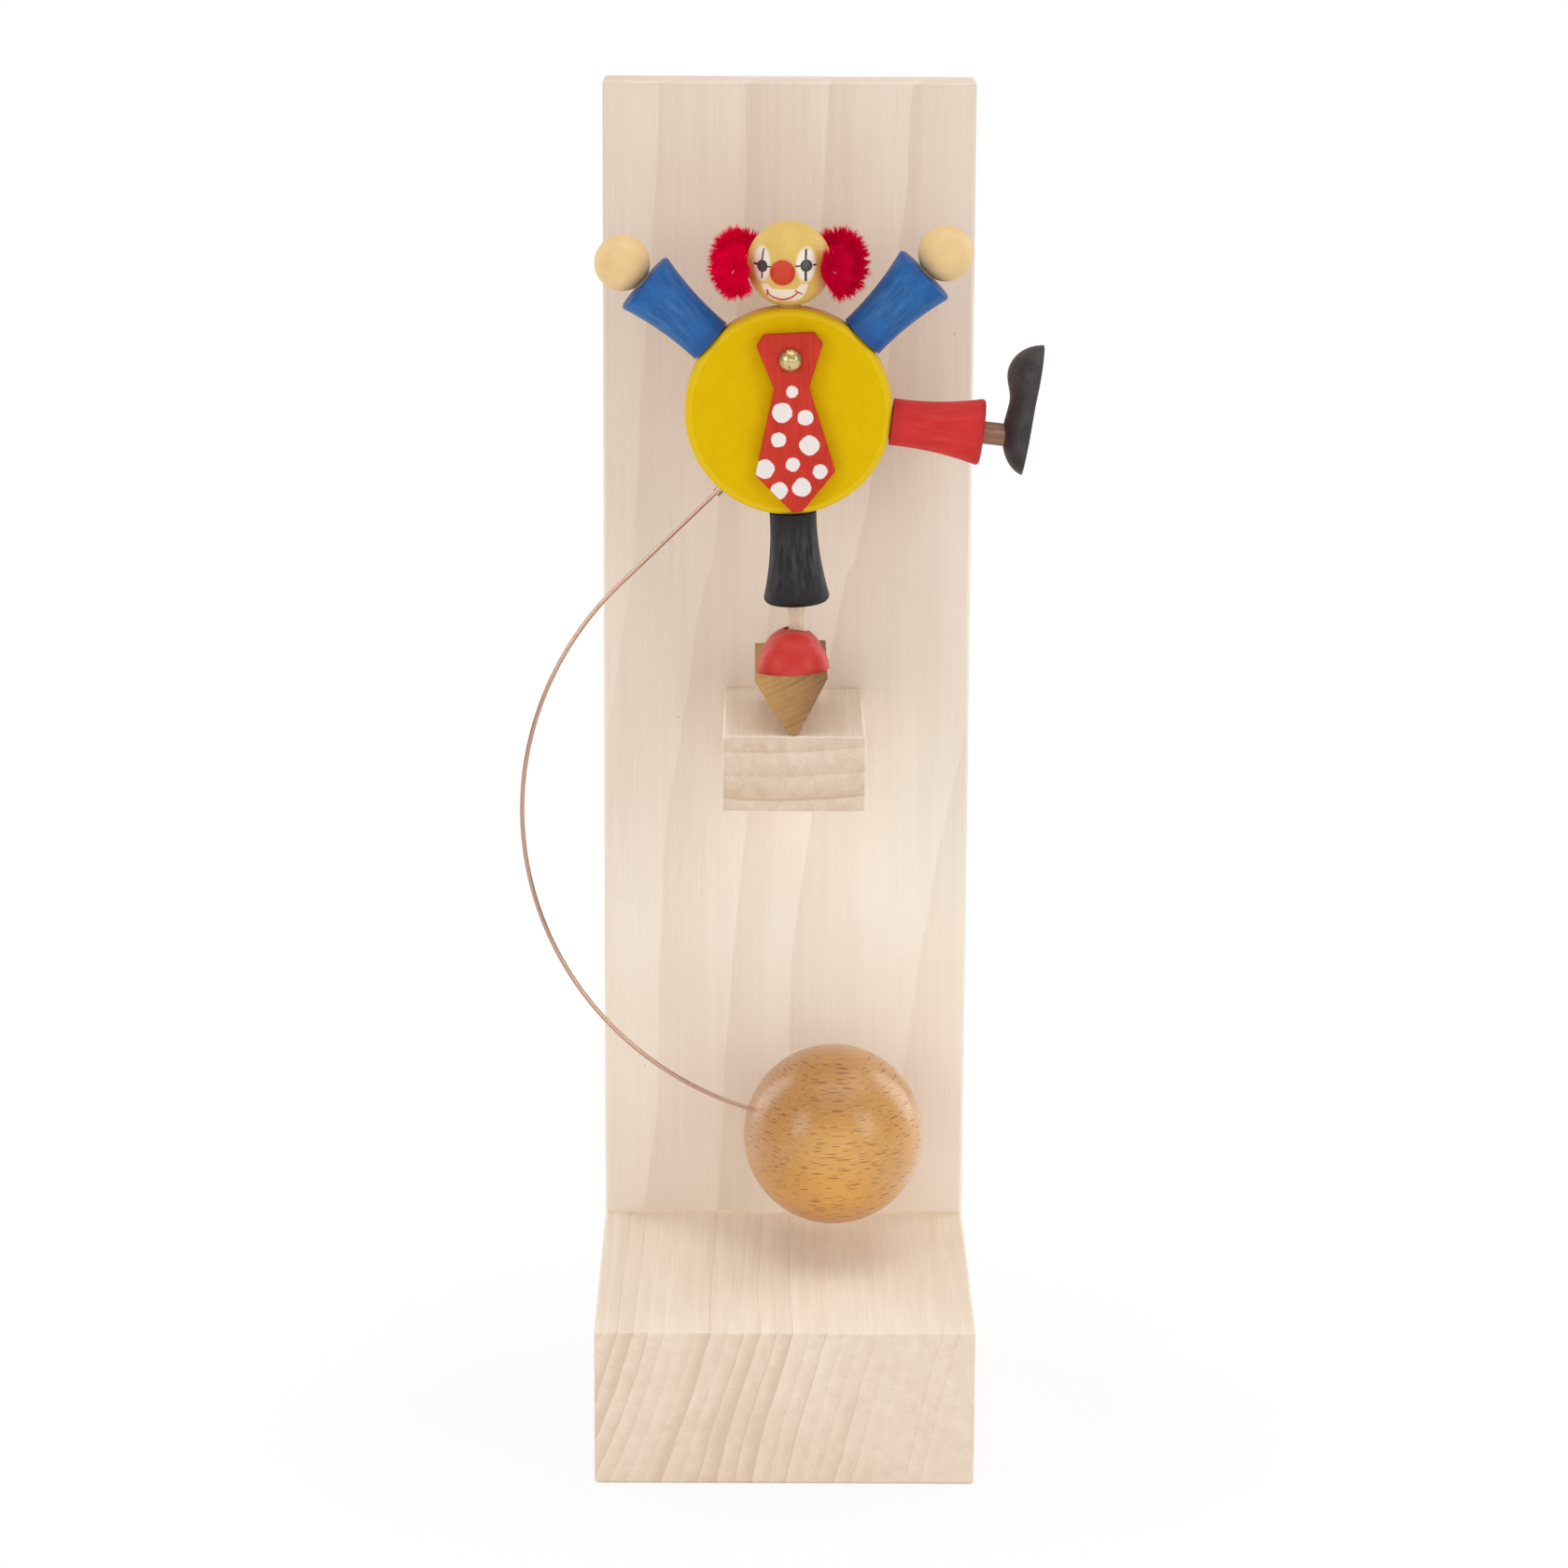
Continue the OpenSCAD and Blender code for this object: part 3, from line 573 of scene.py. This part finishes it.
class ClownWood(bpy.types.PropertyGroup):
    early: colour_setting("Board, pale", "Colour of the board's early wood", srgb(251, 238, 223))
    late: colour_setting("Board, dark", "Colour of the board's late wood", srgb(219, 197, 177))
    keel_early: colour_setting("Keel, pale", "Pale colour of the keel", srgb(190, 147, 90))
    keel_late: colour_setting("Keel, dark", "Dark colour of the keel", srgb(132, 94, 60))
    ball_light: colour_setting("Ball, pale", "Pale colour of the ball", srgb(221, 163, 82))
    ball_dark: colour_setting("Ball, dark", "Dark colour of the ball", srgb(168, 111, 46))
    board_ring: FloatProperty(name="Board rings", description="Ring spacing in the board, in mm",
                              default=5.2, min=2, max=12)
    base_ring: FloatProperty(name="Base rings", description="Ring spacing in the base, in mm",
                             default=3.4, min=2, max=12)


class ClownPaint(bpy.types.PropertyGroup):
    yellow: colour_setting("Body", "Paint of the round body", srgb(223, 184, 0))
    tie: colour_setting("Tie", "Paint of the tie", srgb(200, 50, 34))
    dots: colour_setting("Dots", "Paint of the tie's dots", srgb(238, 228, 224))
    blue: colour_setting("Sleeves", "Paint of the sleeves", srgb(18, 94, 160))
    crimson: colour_setting("Raised leg", "Paint of the raised leg", srgb(208, 44, 42))
    black: colour_setting("Standing leg", "Paint of the standing leg", srgb(36, 32, 33))
    shoe: colour_setting("Red shoe", "Paint of the standing shoe", srgb(204, 54, 46))
    skin: colour_setting("Head", "Paint of the head", srgb(223, 188, 100))
    hand: colour_setting("Hands", "Paint of the hands", srgb(234, 201, 144))
    nose: colour_setting("Nose", "Paint of the nose", srgb(208, 68, 42))
    ink: colour_setting("Face lines", "Paint of the pupils and the eye lines", srgb(44, 42, 42))


class ClownHair(bpy.types.PropertyGroup):
    bristle: FloatProperty(name="Bristle length", description="From the stem's core to a tip",
                           default=2.9 * MM, min=1.5 * MM, max=4 * MM, unit="LENGTH")
    thick: FloatProperty(name="Bristle thickness", description="Radius of a bristle at its root",
                         default=0.13 * MM, min=0.03 * MM, max=0.2 * MM, unit="LENGTH")
    rings: IntProperty(name="Rings of tufts", description="Rings of tufts along one curl",
                       default=116, min=20, max=300)
    around: IntProperty(name="Tufts in a ring", description="Tufts round the stem in each ring",
                        default=13, min=5, max=24)
    tuft: IntProperty(name="Bristles in a tuft", description="Bristles that end close together",
                      default=5, min=2, max=20)
    root: colour_setting("Root", "Colour of the left pile near its core", srgb(212, 0, 56))
    tip: colour_setting("Tip", "Colour of the bristles' tips", srgb(236, 70, 84))


class ClownStage(bpy.types.PropertyGroup):
    distance: FloatProperty(name="Camera distance", description="From the toy's middle plane",
                            default=1.09273, min=0.3, max=3, unit="LENGTH")
    lens: FloatProperty(name="Lens", description="Focal length of the camera, in mm",
                        default=117.857, min=35, max=250)
    side_light: FloatProperty(name="Side lamps", description="Power of each side lamp in watts",
                              default=3.2, min=0, max=100)
    back_light: FloatProperty(name="Back lamps", description="Power of each lamp behind the toy",
                              default=6.2, min=0, max=100)
    front_light: FloatProperty(name="Front panel", description="Power of the low front panel",
                               default=7.5, min=0, max=100)
    top_light: FloatProperty(name="Top lamp", description="Power of the top lamp in watts",
                             default=9.5, min=0, max=100)
    surround: FloatProperty(name="Surround", description="Strength of the white surround",
                            default=0.4, min=0, max=2)


# The toy's pieces

UPRIGHT_GRAIN = (0, 0, 0)
FRONT_TO_BACK = (math.radians(-90), 0, 0)
FROM_LEFT_TO_RIGHT = (0, math.radians(90), 0)


def along_limb(node):
    """Where a limb lies and the turn that brings Z along it, away from the body."""
    here = middle(node)
    away = here - middle("body_disc")
    return here, (0, math.atan2(away.x, away.z), 0)


# Where the rings of the board and of the base are measured from, in metres.
BOARD_TOP, BASE_MIDDLE = (0, 0.041, 0.294), (0, 0, 0.017)

# The glue at the board's foot: its width, its cut edge and how far it ends before the sides.
GLUE, GLUE_CUT, GLUE_SHORT = 0.6 * MM, 0.56 * MM, 0.8 * MM


class CLOWN_OT_dress_stand(bpy.types.Operator):
    """Gives the stand its bare wood: board, base, shelf and the dowels inside"""
    bl_idname = "clown.dress_stand"
    bl_label = "Dress the stand"

    def execute(self, context):
        wood = context.scene.clown_wood
        # Painted light: fade makes the board paler towards its bottom, where the base top throws
        # light on it, and across makes it paler towards the right.
        dress("back_board", sawn_wood(
            "board_wood", BOARD_TOP, UPRIGHT_GRAIN, (145, -478), wood.board_ring,
            wood.early, wood.late, sway=9, contrast=0.46, slant=-0.10, phase=0.35, line=0.1,
            fade=0.002, across=-0.003, streak=0.5))
        dress("base_block", sawn_wood(
            "base_wood", BASE_MIDDLE, FRONT_TO_BACK, (-390, -115), wood.base_ring,
            srgb(252, 240, 222), srgb(222, 196, 172), sway=7, contrast=0.75, grain=1.6, line=1.0,
            end=47.25, cut=0.24, calm=(12, 24)))
        dress("perch_shelf", sawn_wood(
            "shelf_wood", middle("perch_shelf"), FRONT_TO_BACK, (-6, -150), 5.2,
            srgb(254, 241, 224), srgb(208, 180, 154), sway=2.5, contrast=0.6, grain=1.6, line=1.4,
            end=25.0, cut=0.32))
        for node, grain in (("board_dowels", UPRIGHT_GRAIN), ("shelf_dowels", FRONT_TO_BACK)):
            dress(node, dowel_wood(node + "_wood", middle(node), grain, *HIDDEN_DOWEL))
        self.glue_line()
        return {"FINISHED"}

    def glue_line(self):
        """A bead of dried glue that fills the eased joint between the board and the base."""
        low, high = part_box("back_board")
        heart = Vector(((low.x + high.x) / 2, low.y + GLUE / 2, low.z + GLUE / 2))
        alone()
        bpy.ops.mesh.primitive_cube_add(
            size=1, location=heart, scale=(high.x - low.x - 2 * GLUE_SHORT, GLUE, GLUE))
        bead = bpy.context.object
        bpy.ops.object.transform_apply(location=True, rotation=True, scale=True)
        select_where(bead, lambda co: co.y > heart.y and co.z > heart.z)
        bpy.ops.object.mode_set(mode="EDIT")
        bpy.context.tool_settings.mesh_select_mode = (False, True, False)
        bpy.ops.mesh.bevel(offset=GLUE_CUT, affect="EDGES")
        bpy.ops.object.mode_set(mode="OBJECT")
        bead.name = "glue_line"
        bead.data.materials.append(dowel_wood("dried_glue", (0, 0, 0), FROM_LEFT_TO_RIGHT,
                                              srgb(254, 240, 220), srgb(244, 224, 198)))
        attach(bead, "stand")


class CLOWN_OT_dress_rocker(bpy.types.Operator):
    """Gives the keel, both shoes and the two visible pegs their finish"""
    bl_idname = "clown.dress_rocker"
    bl_label = "Dress the keel and shoes"

    def execute(self, context):
        wood, coat = context.scene.clown_wood, context.scene.clown_paint
        keel = sawn_wood("keel_wood", middle("rocker_block"), FRONT_TO_BACK, (-22, -48), 1.3,
                         wood.keel_early, wood.keel_late, sway=2.4, contrast=0.45, grain=2.4,
                         across=0.075)
        eased_copy("rocker_block", "keel", keel, width=0.22, segments=2, body="clown")
        dress("red_shoe", paint("red_shoe_paint", coat.shoe, middle("red_shoe"), FRONT_TO_BACK,
                                roughness=0.38, spread=0.07, streaks=0.04))
        # Painted light: the standing peg is paler than the same dowel wood hidden inside, to make up
        # for the shade under the body where it stands.
        dress("standing_leg_peg", dowel_wood("pale_peg_wood", *along_limb("standing_leg_peg"),
                                             srgb(254, 238, 212), srgb(236, 208, 176)))
        dress("raised_leg_peg", dowel_wood("stained_peg_wood", *along_limb("raised_leg_peg"),
                                           srgb(186, 145, 121), srgb(133, 94, 75)))
        dress("black_shoe", paint("black_shoe_paint", srgb(62, 56, 58), middle("black_shoe"),
                                  (0, math.radians(8), 0), roughness=0.4, spread=0.14,
                                  streaks=0.08, shine=0.32))
        return {"FINISHED"}


class CLOWN_OT_dress_limbs(bpy.types.Operator):
    """Paints the sleeves, the hands and the trouser legs"""
    bl_idname = "clown.dress_limbs"
    bl_label = "Dress the limbs"

    def execute(self, context):
        coat = context.scene.clown_paint
        # The second colour of each limb is its painted shade at both ends.
        for node in ("left_sleeve", "right_sleeve"):
            dress(node, sleeve_paint(node, coat.blue, srgb(36, 66, 136), half=9.6,
                                     roughness=0.36, streaks=0.05, shine=0.3, painted_sheen=0.2))
        dress("raised_leg", sleeve_paint("raised_leg", coat.crimson, srgb(176, 40, 38), half=9.9,
                                         roughness=0.5, streaks=0.025, shine=0.25, painted_sheen=0.08))
        dress("standing_leg", sleeve_paint("standing_leg", coat.black, srgb(30, 27, 30), half=10,
                                           roughness=0.45, streaks=0.09, shine=0.24, painted_sheen=0.2))
        for node in ("left_hand", "right_hand"):
            dress(node, paint(node + "_paint", coat.hand, *along_limb(node), roughness=0.45,
                              spread=0.05, streaks=0.02, depth=0.01))
        for node in ("left_arm_peg", "right_arm_peg"):
            dress(node, dowel_wood(node + "_wood", *along_limb(node), *HIDDEN_DOWEL))
        return {"FINISHED"}


class CLOWN_OT_dress_body(bpy.types.Operator):
    """Paints the round body and dresses the tie and its brass nail"""
    bl_idname = "clown.dress_body"
    bl_label = "Dress the body"

    def execute(self, context):
        coat = context.scene.clown_paint
        dress("body_disc", rim_painted_disc(
            "body_paint", middle("body_disc"), coat.yellow, srgb(226, 190, 132),
            srgb(198, 156, 102), edge=0.7))
        tie = dotted_tie("tie_paint_dotted", coat.tie, TIE_DOTS, coat.dots)
        eased_copy("tie", "dotted_tie", tie, width=0.32, segments=3, body="tie")
        # The nail's many dark spots are tarnish and painted dark reflections.
        dress("tie_nail", bright_metal("nail_brass", srgb(214, 194, 140), srgb(92, 76, 40),
                                       middle("tie_nail"), roughness=0.2, spots=0.7))
        return {"FINISHED"}


class CLOWN_OT_dress_head(bpy.types.Operator):
    """Paints the face on the head bead, the nose and the neck peg"""
    bl_idname = "clown.dress_head"
    bl_label = "Dress the head"

    def execute(self, context):
        coat = context.scene.clown_paint
        dress("head", painted_face("face_paint", coat.skin, middle("head"), coat.ink))
        dress("nose", paint("nose_red", coat.nose, middle("nose"), FRONT_TO_BACK,
                            roughness=0.5, spread=0.08, streaks=0.03, shine=0.2))
        dress("neck_peg", dowel_wood("neck_peg_wood", *along_limb("neck_peg"), *HIDDEN_DOWEL))
        return {"FINISHED"}


class CLOWN_OT_dress_balance(bpy.types.Operator):
    """Gives the bowed wire its copper and the ball its varnished beech"""
    bl_idname = "clown.dress_balance"
    bl_label = "Dress the wire and ball"

    def execute(self, context):
        wood = context.scene.clown_wood
        dress("balance_wire", bright_metal(
            "wire_copper", srgb(194, 160, 140), srgb(150, 112, 92), middle("balance_wire"),
            roughness=0.1, spots=0.1, scratches=(0.1, 0.1, 0.1)))
        dress("balance_ball", varnished_ball("ball_beech", middle("balance_ball"),
                                             wood.ball_light, wood.ball_dark))
        return {"FINISHED"}


# The route of a curl's stem in millimetres, as the solid has it. out, back and drop place its
# middle off the head's, wide and high are its outline, run is its length from back to front, tail
# and rise widen it behind, and from start it winds through turn degrees.
CURL = {"out": 12.0, "wide": 5.2, "high": 8.8, "drop": 0.4, "back": 1.0, "run": 17.2,
        "tail": 4.2, "rise": 1.0, "start": 148.0, "turn": 326.0}

# By this share the visible pile winds on past the solid's front end, to fill the curl.
WIND_ON = 0.36

# The radius of the dense roots and of a steel wire, and how near the head's middle bristles come.
ROOTS, STEEL, HEAD_CLEAR = 1.5 * MM, 0.2 * MM, 9.3 * MM


def curl_route(steps, inward):
    """Points of the right curl's stem in millimetres, from its back end to the middle of the curl.

    inward is how far the front of this curl lies nearer to the face.
    """
    route = []
    for i in range(steps + 1):
        way = i / steps * (1 + WIND_ON)
        angle = math.radians(CURL["start"] - CURL["turn"] * way)
        behind = max(0.0, 1 - way / 0.3) ** 2
        on = max(0.0, (way - 1) / WIND_ON)
        shrink = 1 - 0.88 * on * (2 - on) * 0.9
        lean_in = inward * min(1.0, max(0.0, (way - 0.55) / 0.6))
        wide = (CURL["wide"] / 2 + CURL["tail"] * behind) * shrink
        high = (CURL["high"] / 2 + CURL["rise"] * behind) * shrink
        route.append(Vector((
            CURL["out"] + wide * math.cos(angle) - lean_in,
            CURL["back"] + CURL["run"] * (0.5 - min(way, 1.0)) + 1.6 * on - 2.2 * on ** 4,
            high * math.sin(angle) - CURL["drop"] - 0.9 * on)))
    return route


def moving_frame(route):
    """At each point of a route: the point, the way ahead and two sides that never twist."""
    frames, side = [], Vector((1, 0, 0))
    for i, point in enumerate(route):
        ahead = (route[min(i + 1, len(route) - 1)] - route[max(i - 1, 0)]).normalized()
        side = (side - ahead * side.dot(ahead)).normalized()
        frames.append((point, ahead, side, ahead.cross(side)))
    return frames


class Curl:
    """One curl of hair beside the head. side is 1 for the right curl and -1 for the left one.

    hair holds the settings and model is the bristle that the pile is made of.
    """

    def __init__(self, side, inward, hair, model):
        self.side, self.hair, self.head = side, hair, middle("head")
        self.chance = random.Random(11 + side)
        self.frames = moving_frame([self.head + Vector((side * p.x, p.y, p.z)) * MM
                                    for p in curl_route(800, inward)])
        self.model_points = [v.co.copy() for v in model.data.vertices]
        self.model_faces = [tuple(face.vertices) for face in model.data.polygons]
        self.places, self.faces = [], []

    def beside(self, point):
        """How far a point lies from the head's middle towards this curl, in metres."""
        return self.side * (point.x - self.head.x)

    def face_edge(self, point):
        """How far beside the head's middle the curl begins at a point's height, in millimetres.

        The left curl stops at the head's outline. The right one covers a strip of the face.
        """
        up = (point.z - self.head.z) / MM
        if self.side < 0:
            return math.sqrt(max(0.0, 9.2 ** 2 - up * up))
        return 6.8 + min(2.2, 0.04 * (up - 2) ** 2)

    def length(self, at, point, out):
        """How long a tuft is: longer where the pile winds on and towards the curl's middle."""
        wound = max(0.0, at * (1 + WIND_ON) - 0.85) / (WIND_ON + 0.15)
        outward = out.x * self.side
        grow = max(0.0, outward) + 1.3 * max(0.0, out.z) + 0.3 * max(0.0, -out.z)
        long = self.hair.bristle * self.chance.uniform(0.82, 1.2) \
            * (1 + 0.75 * wound * min(1.0, grow) - 0.1 * wound * max(0.0, -outward))
        to_middle = self.head + Vector((self.side * CURL["out"], 0, -CURL["drop"])) * MM - point
        to_middle.y = 0
        if at < 0.8 and out.dot(to_middle.normalized()) > 0.3:
            long *= 1.3
        return long

    def pile(self, name):
        """Copies the bristle round and along the stem. At both ends the bristles fan out."""
        hair, chance, frames = self.hair, self.chance, self.frames
        for i in range(hair.rings * hair.around):
            at = (i // hair.around + 0.5 + chance.uniform(-0.4, 0.4)) / hair.rings
            angle = (i + chance.uniform(-0.35, 0.35)) * math.tau / hair.around + at * 40
            point, ahead, side, other = frames[min(int(at * len(frames)), len(frames) - 1)]
            out = side * math.cos(angle) + other * math.sin(angle)
            fan = chance.gauss(0, 0.16)
            if at > 0.97:
                fan += (at - 0.97) / 0.03 * chance.uniform(0.2, 1.1)
            if at < 0.02:
                fan -= (0.02 - at) / 0.02 * chance.uniform(0.2, 1.1)
            out = (out + ahead * fan).normalized()
            self.add_tuft(at, point + out * self.length(at, point, out))
        places = self.places
        mesh = bpy.data.meshes.new(name)
        mesh.from_pydata(places, [], self.faces)
        low, high = (Vector([limit(p[k] for p in places) for k in range(3)]) for limit in (min, max))
        half = (high - low) / 2
        centre = low + half
        reach = [math.hypot((p.x - centre.x) / half.x, (p.z - centre.z) / half.z) for p in places]
        mesh.attributes.new("reach", "FLOAT", "POINT").data.foreach_set("value", reach)
        return new_object(name, mesh)

    def add_tuft(self, at, tip):
        """A few bristles from the stem to about one tip. In front of the face they are shorter."""
        chance = self.chance
        for _ in range(self.hair.tuft):
            near = min(max(at + chance.uniform(-0.8, 0.8) / self.hair.rings, 0.0), 0.9999)
            root = self.frames[int(near * len(self.frames))][0]
            end = tip + Vector([chance.gauss(0, 0.13) * MM for _ in range(3)])
            end = root + (end - root) * chance.uniform(0.84, 1.06)
            limit = (self.face_edge(end) + chance.uniform(0, 0.9)) * MM
            stem, inner = self.beside(root), self.beside(end)
            if end.y < self.head.y and inner < min(limit, stem):
                end = root + (end - root) * max(0.25, (stem - limit) / (stem - inner))
            self.add_bristle(root, end, self.hair.thick * chance.uniform(0.8, 1.25))

    def add_bristle(self, root, end, thick):
        """Puts one copy of the bristle between two points, a little bent and clear of the head."""
        out, length = (end - root).normalized(), (end - root).length
        across = out.orthogonal().normalized()
        third = out.cross(across)
        drift = (across * self.chance.gauss(0, 1) + third * self.chance.gauss(0, 1)) * 0.06
        first = len(self.places)
        for v in self.model_points:
            place = root + (out * v.z + drift * v.z * v.z) * length \
                + (across * v.x + third * v.y) * thick
            off = place - self.head
            if off.length < HEAD_CLEAR:
                place = self.head + off * (HEAD_CLEAR / off.length)
            self.places.append(place)
        self.faces += [tuple(first + k for k in face) for face in self.model_faces]

    def core(self, name):
        """Two thin steel wires twisted round each other, which stick out of the curl's end."""
        last, ahead, side, other = self.frames[-1]
        sticking_out = [(last + ahead * (k * STEEL), ahead, side, other) for k in range(1, 8)]
        routes = ([], [])
        for i, (point, _, side, other) in enumerate(self.frames[-20::2] + sticking_out):
            for route, start in zip(routes, (0, math.pi)):
                angle = start + i * 0.14
                off = side * math.cos(angle) + other * math.sin(angle)
                route.append((point + off * STEEL, 1.0))
        return tube(name, STEEL, 2, routes)

    def dense_pile(self, name):
        """The roots of the pile, so close together that nothing is seen between them.

        In front of the face they are thinner, so that they end where the bristles do.
        """
        route = []
        for point, *_ in self.frames[4:-40:8]:
            spare = self.beside(point) - self.face_edge(point) * MM
            share = min(1.0, max(0.2, spare / ROOTS)) if point.y < self.head.y else 1.0
            route.append((point, share))
        return tube(name, ROOTS, 3, [route])


class CLOWN_OT_build_hair(bpy.types.Operator):
    """Builds both curls of hair: copied bristles, their dense roots and a twisted steel core"""
    bl_idname = "clown.build_hair"
    bl_label = "Build the hair"

    def execute(self, context):
        hair = context.scene.clown_hair
        # The right curl's root colour is darker than the left's: painted shade on one of two curls
        # of the same chenille.
        pile = {1: chenille("right_pile", srgb(198, 0, 54), hair.tip),
                -1: chenille("left_pile", hair.root, hair.tip)}
        # The dense roots are darker still: painted shade between the bristles.
        shade = chenille("shaded_pile", srgb(166, 0, 40), hair.root)
        steel = bright_metal("stem_steel", srgb(214, 212, 216), srgb(120, 116, 120), (0, 0, 0),
                             roughness=0.25)
        model = self.bristle()
        for side, node, inward in ((1, "hair_right", 2.8), (-1, "hair_left", 0.4)):
            curl = Curl(side, inward, hair, model)
            bristles = curl.pile(node + "_pile")
            core = curl.core(node + "_core")
            roots = curl.dense_pile(node + "_roots")
            for piece, finish in ((bristles, pile[side]), (core, steel), (roots, shade)):
                piece.data.materials.append(finish)
                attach(piece, "clown")
            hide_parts(node)
        bpy.data.objects.remove(model)
        return {"FINISHED"}

    def bristle(self):
        """One bristle, a metre long so that copies can be scaled: it tapers and has two joints."""
        alone()
        bpy.ops.mesh.primitive_cone_add(vertices=3, radius1=1, radius2=0.85, depth=0.34,
                                        end_fill_type="NGON", location=(0, 0, 0.17))
        bristle = bpy.context.object
        bpy.ops.object.transform_apply(location=True, rotation=True, scale=True)
        for rise, taper in ((0.34, 0.55), (0.32, 0.3)):
            top = max(v.co.z for v in bristle.data.vertices)
            select_where(bristle, lambda co: co.z > top - 0.01)
            bpy.ops.object.mode_set(mode="EDIT")
            bpy.ops.mesh.extrude_region_move(TRANSFORM_OT_translate={"value": (0, 0, rise)})
            bpy.ops.transform.resize(value=(taper, taper, 1), center_override=(0, 0, 0))
            bpy.ops.object.mode_set(mode="OBJECT")
        bpy.ops.object.mode_set(mode="EDIT")
        bpy.ops.mesh.select_all(action="SELECT")
        bpy.ops.mesh.normals_make_consistent(inside=False)
        bpy.ops.object.mode_set(mode="OBJECT")
        return bristle


class CLOWN_OT_set_stage(bpy.types.Operator):
    """Sets the floor, the surround, the lamps and the camera"""
    bl_idname = "clown.set_stage"
    bl_label = "Set the stage"

    def execute(self, context):
        stage = context.scene.clown_stage
        self.floor()
        self.surround(context.scene, stage.surround)
        for side in (-1, 1):
            self.lamp("side_lamp", (side * 0.95, -0.9, 0.6), (0.5, 0.7), stage.side_light)
            self.lamp("back_lamp", (side * 1.15, 0.75, 0.65), (0.7, 1.3), stage.back_light)
        self.lamp("front_panel", (0, -2.2, 0.25), (2.4, 1.0), stage.front_light)
        self.lamp("top_lamp", (0.15, -0.1, 1.6), (1.5, 1.5), stage.top_light)
        self.camera(context.scene, stage)
        context.scene.view_settings.view_transform = "Standard"
        return {"FINISHED"}

    def floor(self):
        """White paper that shows a little of the toy's shadow near the toy and none far off."""
        alone()
        bpy.ops.mesh.primitive_plane_add(size=6, location=(0, 0, 0))
        floor = bpy.context.object
        floor.name = "floor"
        g = Graph("floor_paper")
        seen = g.node("ShaderNodeLightPath", result="Is Camera Ray")
        paper = g.node("ShaderNodeBsdfDiffuse", None, {"Color": (0.95, 0.95, 0.95, 1)})
        white = g.node("ShaderNodeEmission", None, {"Color": (1, 1, 1, 1), "Strength": 1.0})
        x, y, _ = g.split(g.node("ShaderNodeTexCoord", result="Object"))
        far = distance(x, y).step(0.06, 0.14)
        both = g.node("ShaderNodeMixShader", None,
                      {0: seen * (far * 0.18 + 0.82), 1: paper, 2: white})
        g.node("ShaderNodeOutputMaterial", None, {"Surface": both})
        floor.data.materials.append(g.owner)

    def surround(self, scene, strength):
        """White all round for the camera, and a weaker white as light."""
        g = Graph("white_surround", "worlds")
        scene.world = g.owner
        seen = g.node("ShaderNodeLightPath", result="Is Camera Ray")
        sky = g.node("ShaderNodeBackground", None,
                     {"Color": (1, 1, 1, 1), "Strength": seen * (1 - strength) + strength})
        g.node("ShaderNodeOutputWorld", None, {"Surface": sky})

    def lamp(self, name, place, size, power):
        """A soft lamp that looks at the toy's middle. Its place and size are in metres."""
        data = bpy.data.lights.new(name, "AREA")
        data.shape, data.energy = "RECTANGLE", power
        data.size, data.size_y = size
        lamp = new_object(name, data)
        place, aim = Vector(place), Vector((0, 0, 0.12))
        lamp.matrix_world = Matrix.Translation(place) \
            @ (aim - place).to_track_quat("-Z", "Y").to_matrix().to_4x4()

    def camera(self, scene, stage):
        """The photograph's camera. Its angles and its place were fitted to the stand's edges."""
        data = bpy.data.cameras.new("photo_camera")
        data.lens, data.sensor_width, data.clip_end = stage.lens, 36, 20
        camera = new_object("photo_camera", data)
        down, aside, roll = 13.256, 0.273, 0.307
        view = Matrix.Translation((-0.0058, -stage.distance, 0.4018))
        for degrees, axis in ((-aside, "Z"), (90 - down, "X"), (roll, "Z")):
            view @= Matrix.Rotation(math.radians(degrees), 4, axis)
        camera.matrix_world = view
        scene.camera = camera


class CLOWN_PT_panel(bpy.types.Panel):
    """Lists the steps and their settings"""
    bl_idname = "CLOWN_PT_panel"
    bl_label = "Balancing clown"
    bl_space_type = "VIEW_3D"
    bl_region_type = "UI"
    bl_category = "Clown"

    def draw(self, context):
        layout = self.layout
        for step in STEPS:
            layout.operator(step.bl_idname)
        for group in GROUPS:
            box = layout.box()
            settings = getattr(context.scene, group)
            for key in settings.bl_rna.properties.keys():
                if key not in ("rna_type", "name"):
                    box.prop(settings, key)


STEPS = (CLOWN_OT_dress_stand, CLOWN_OT_dress_rocker, CLOWN_OT_dress_limbs, CLOWN_OT_dress_body,
         CLOWN_OT_dress_head, CLOWN_OT_build_hair, CLOWN_OT_dress_balance, CLOWN_OT_set_stage)
GROUPS = {"clown_wood": ClownWood, "clown_paint": ClownPaint, "clown_hair": ClownHair,
          "clown_stage": ClownStage}


def register():
    for name, group in GROUPS.items():
        bpy.utils.register_class(group)
        setattr(bpy.types.Scene, name, PointerProperty(type=group))
    for kind in (*STEPS, CLOWN_PT_panel):
        bpy.utils.register_class(kind)


def unregister():
    for kind in (CLOWN_PT_panel, *reversed(STEPS)):
        bpy.utils.unregister_class(kind)
    for name, group in GROUPS.items():
        delattr(bpy.types.Scene, name)
        bpy.utils.unregister_class(group)


def main():
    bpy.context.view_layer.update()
    register()
    for step in STEPS:
        family, name = step.bl_idname.split(".")
        getattr(getattr(bpy.ops, family), name)()


if __name__ == "__main__":
    main()
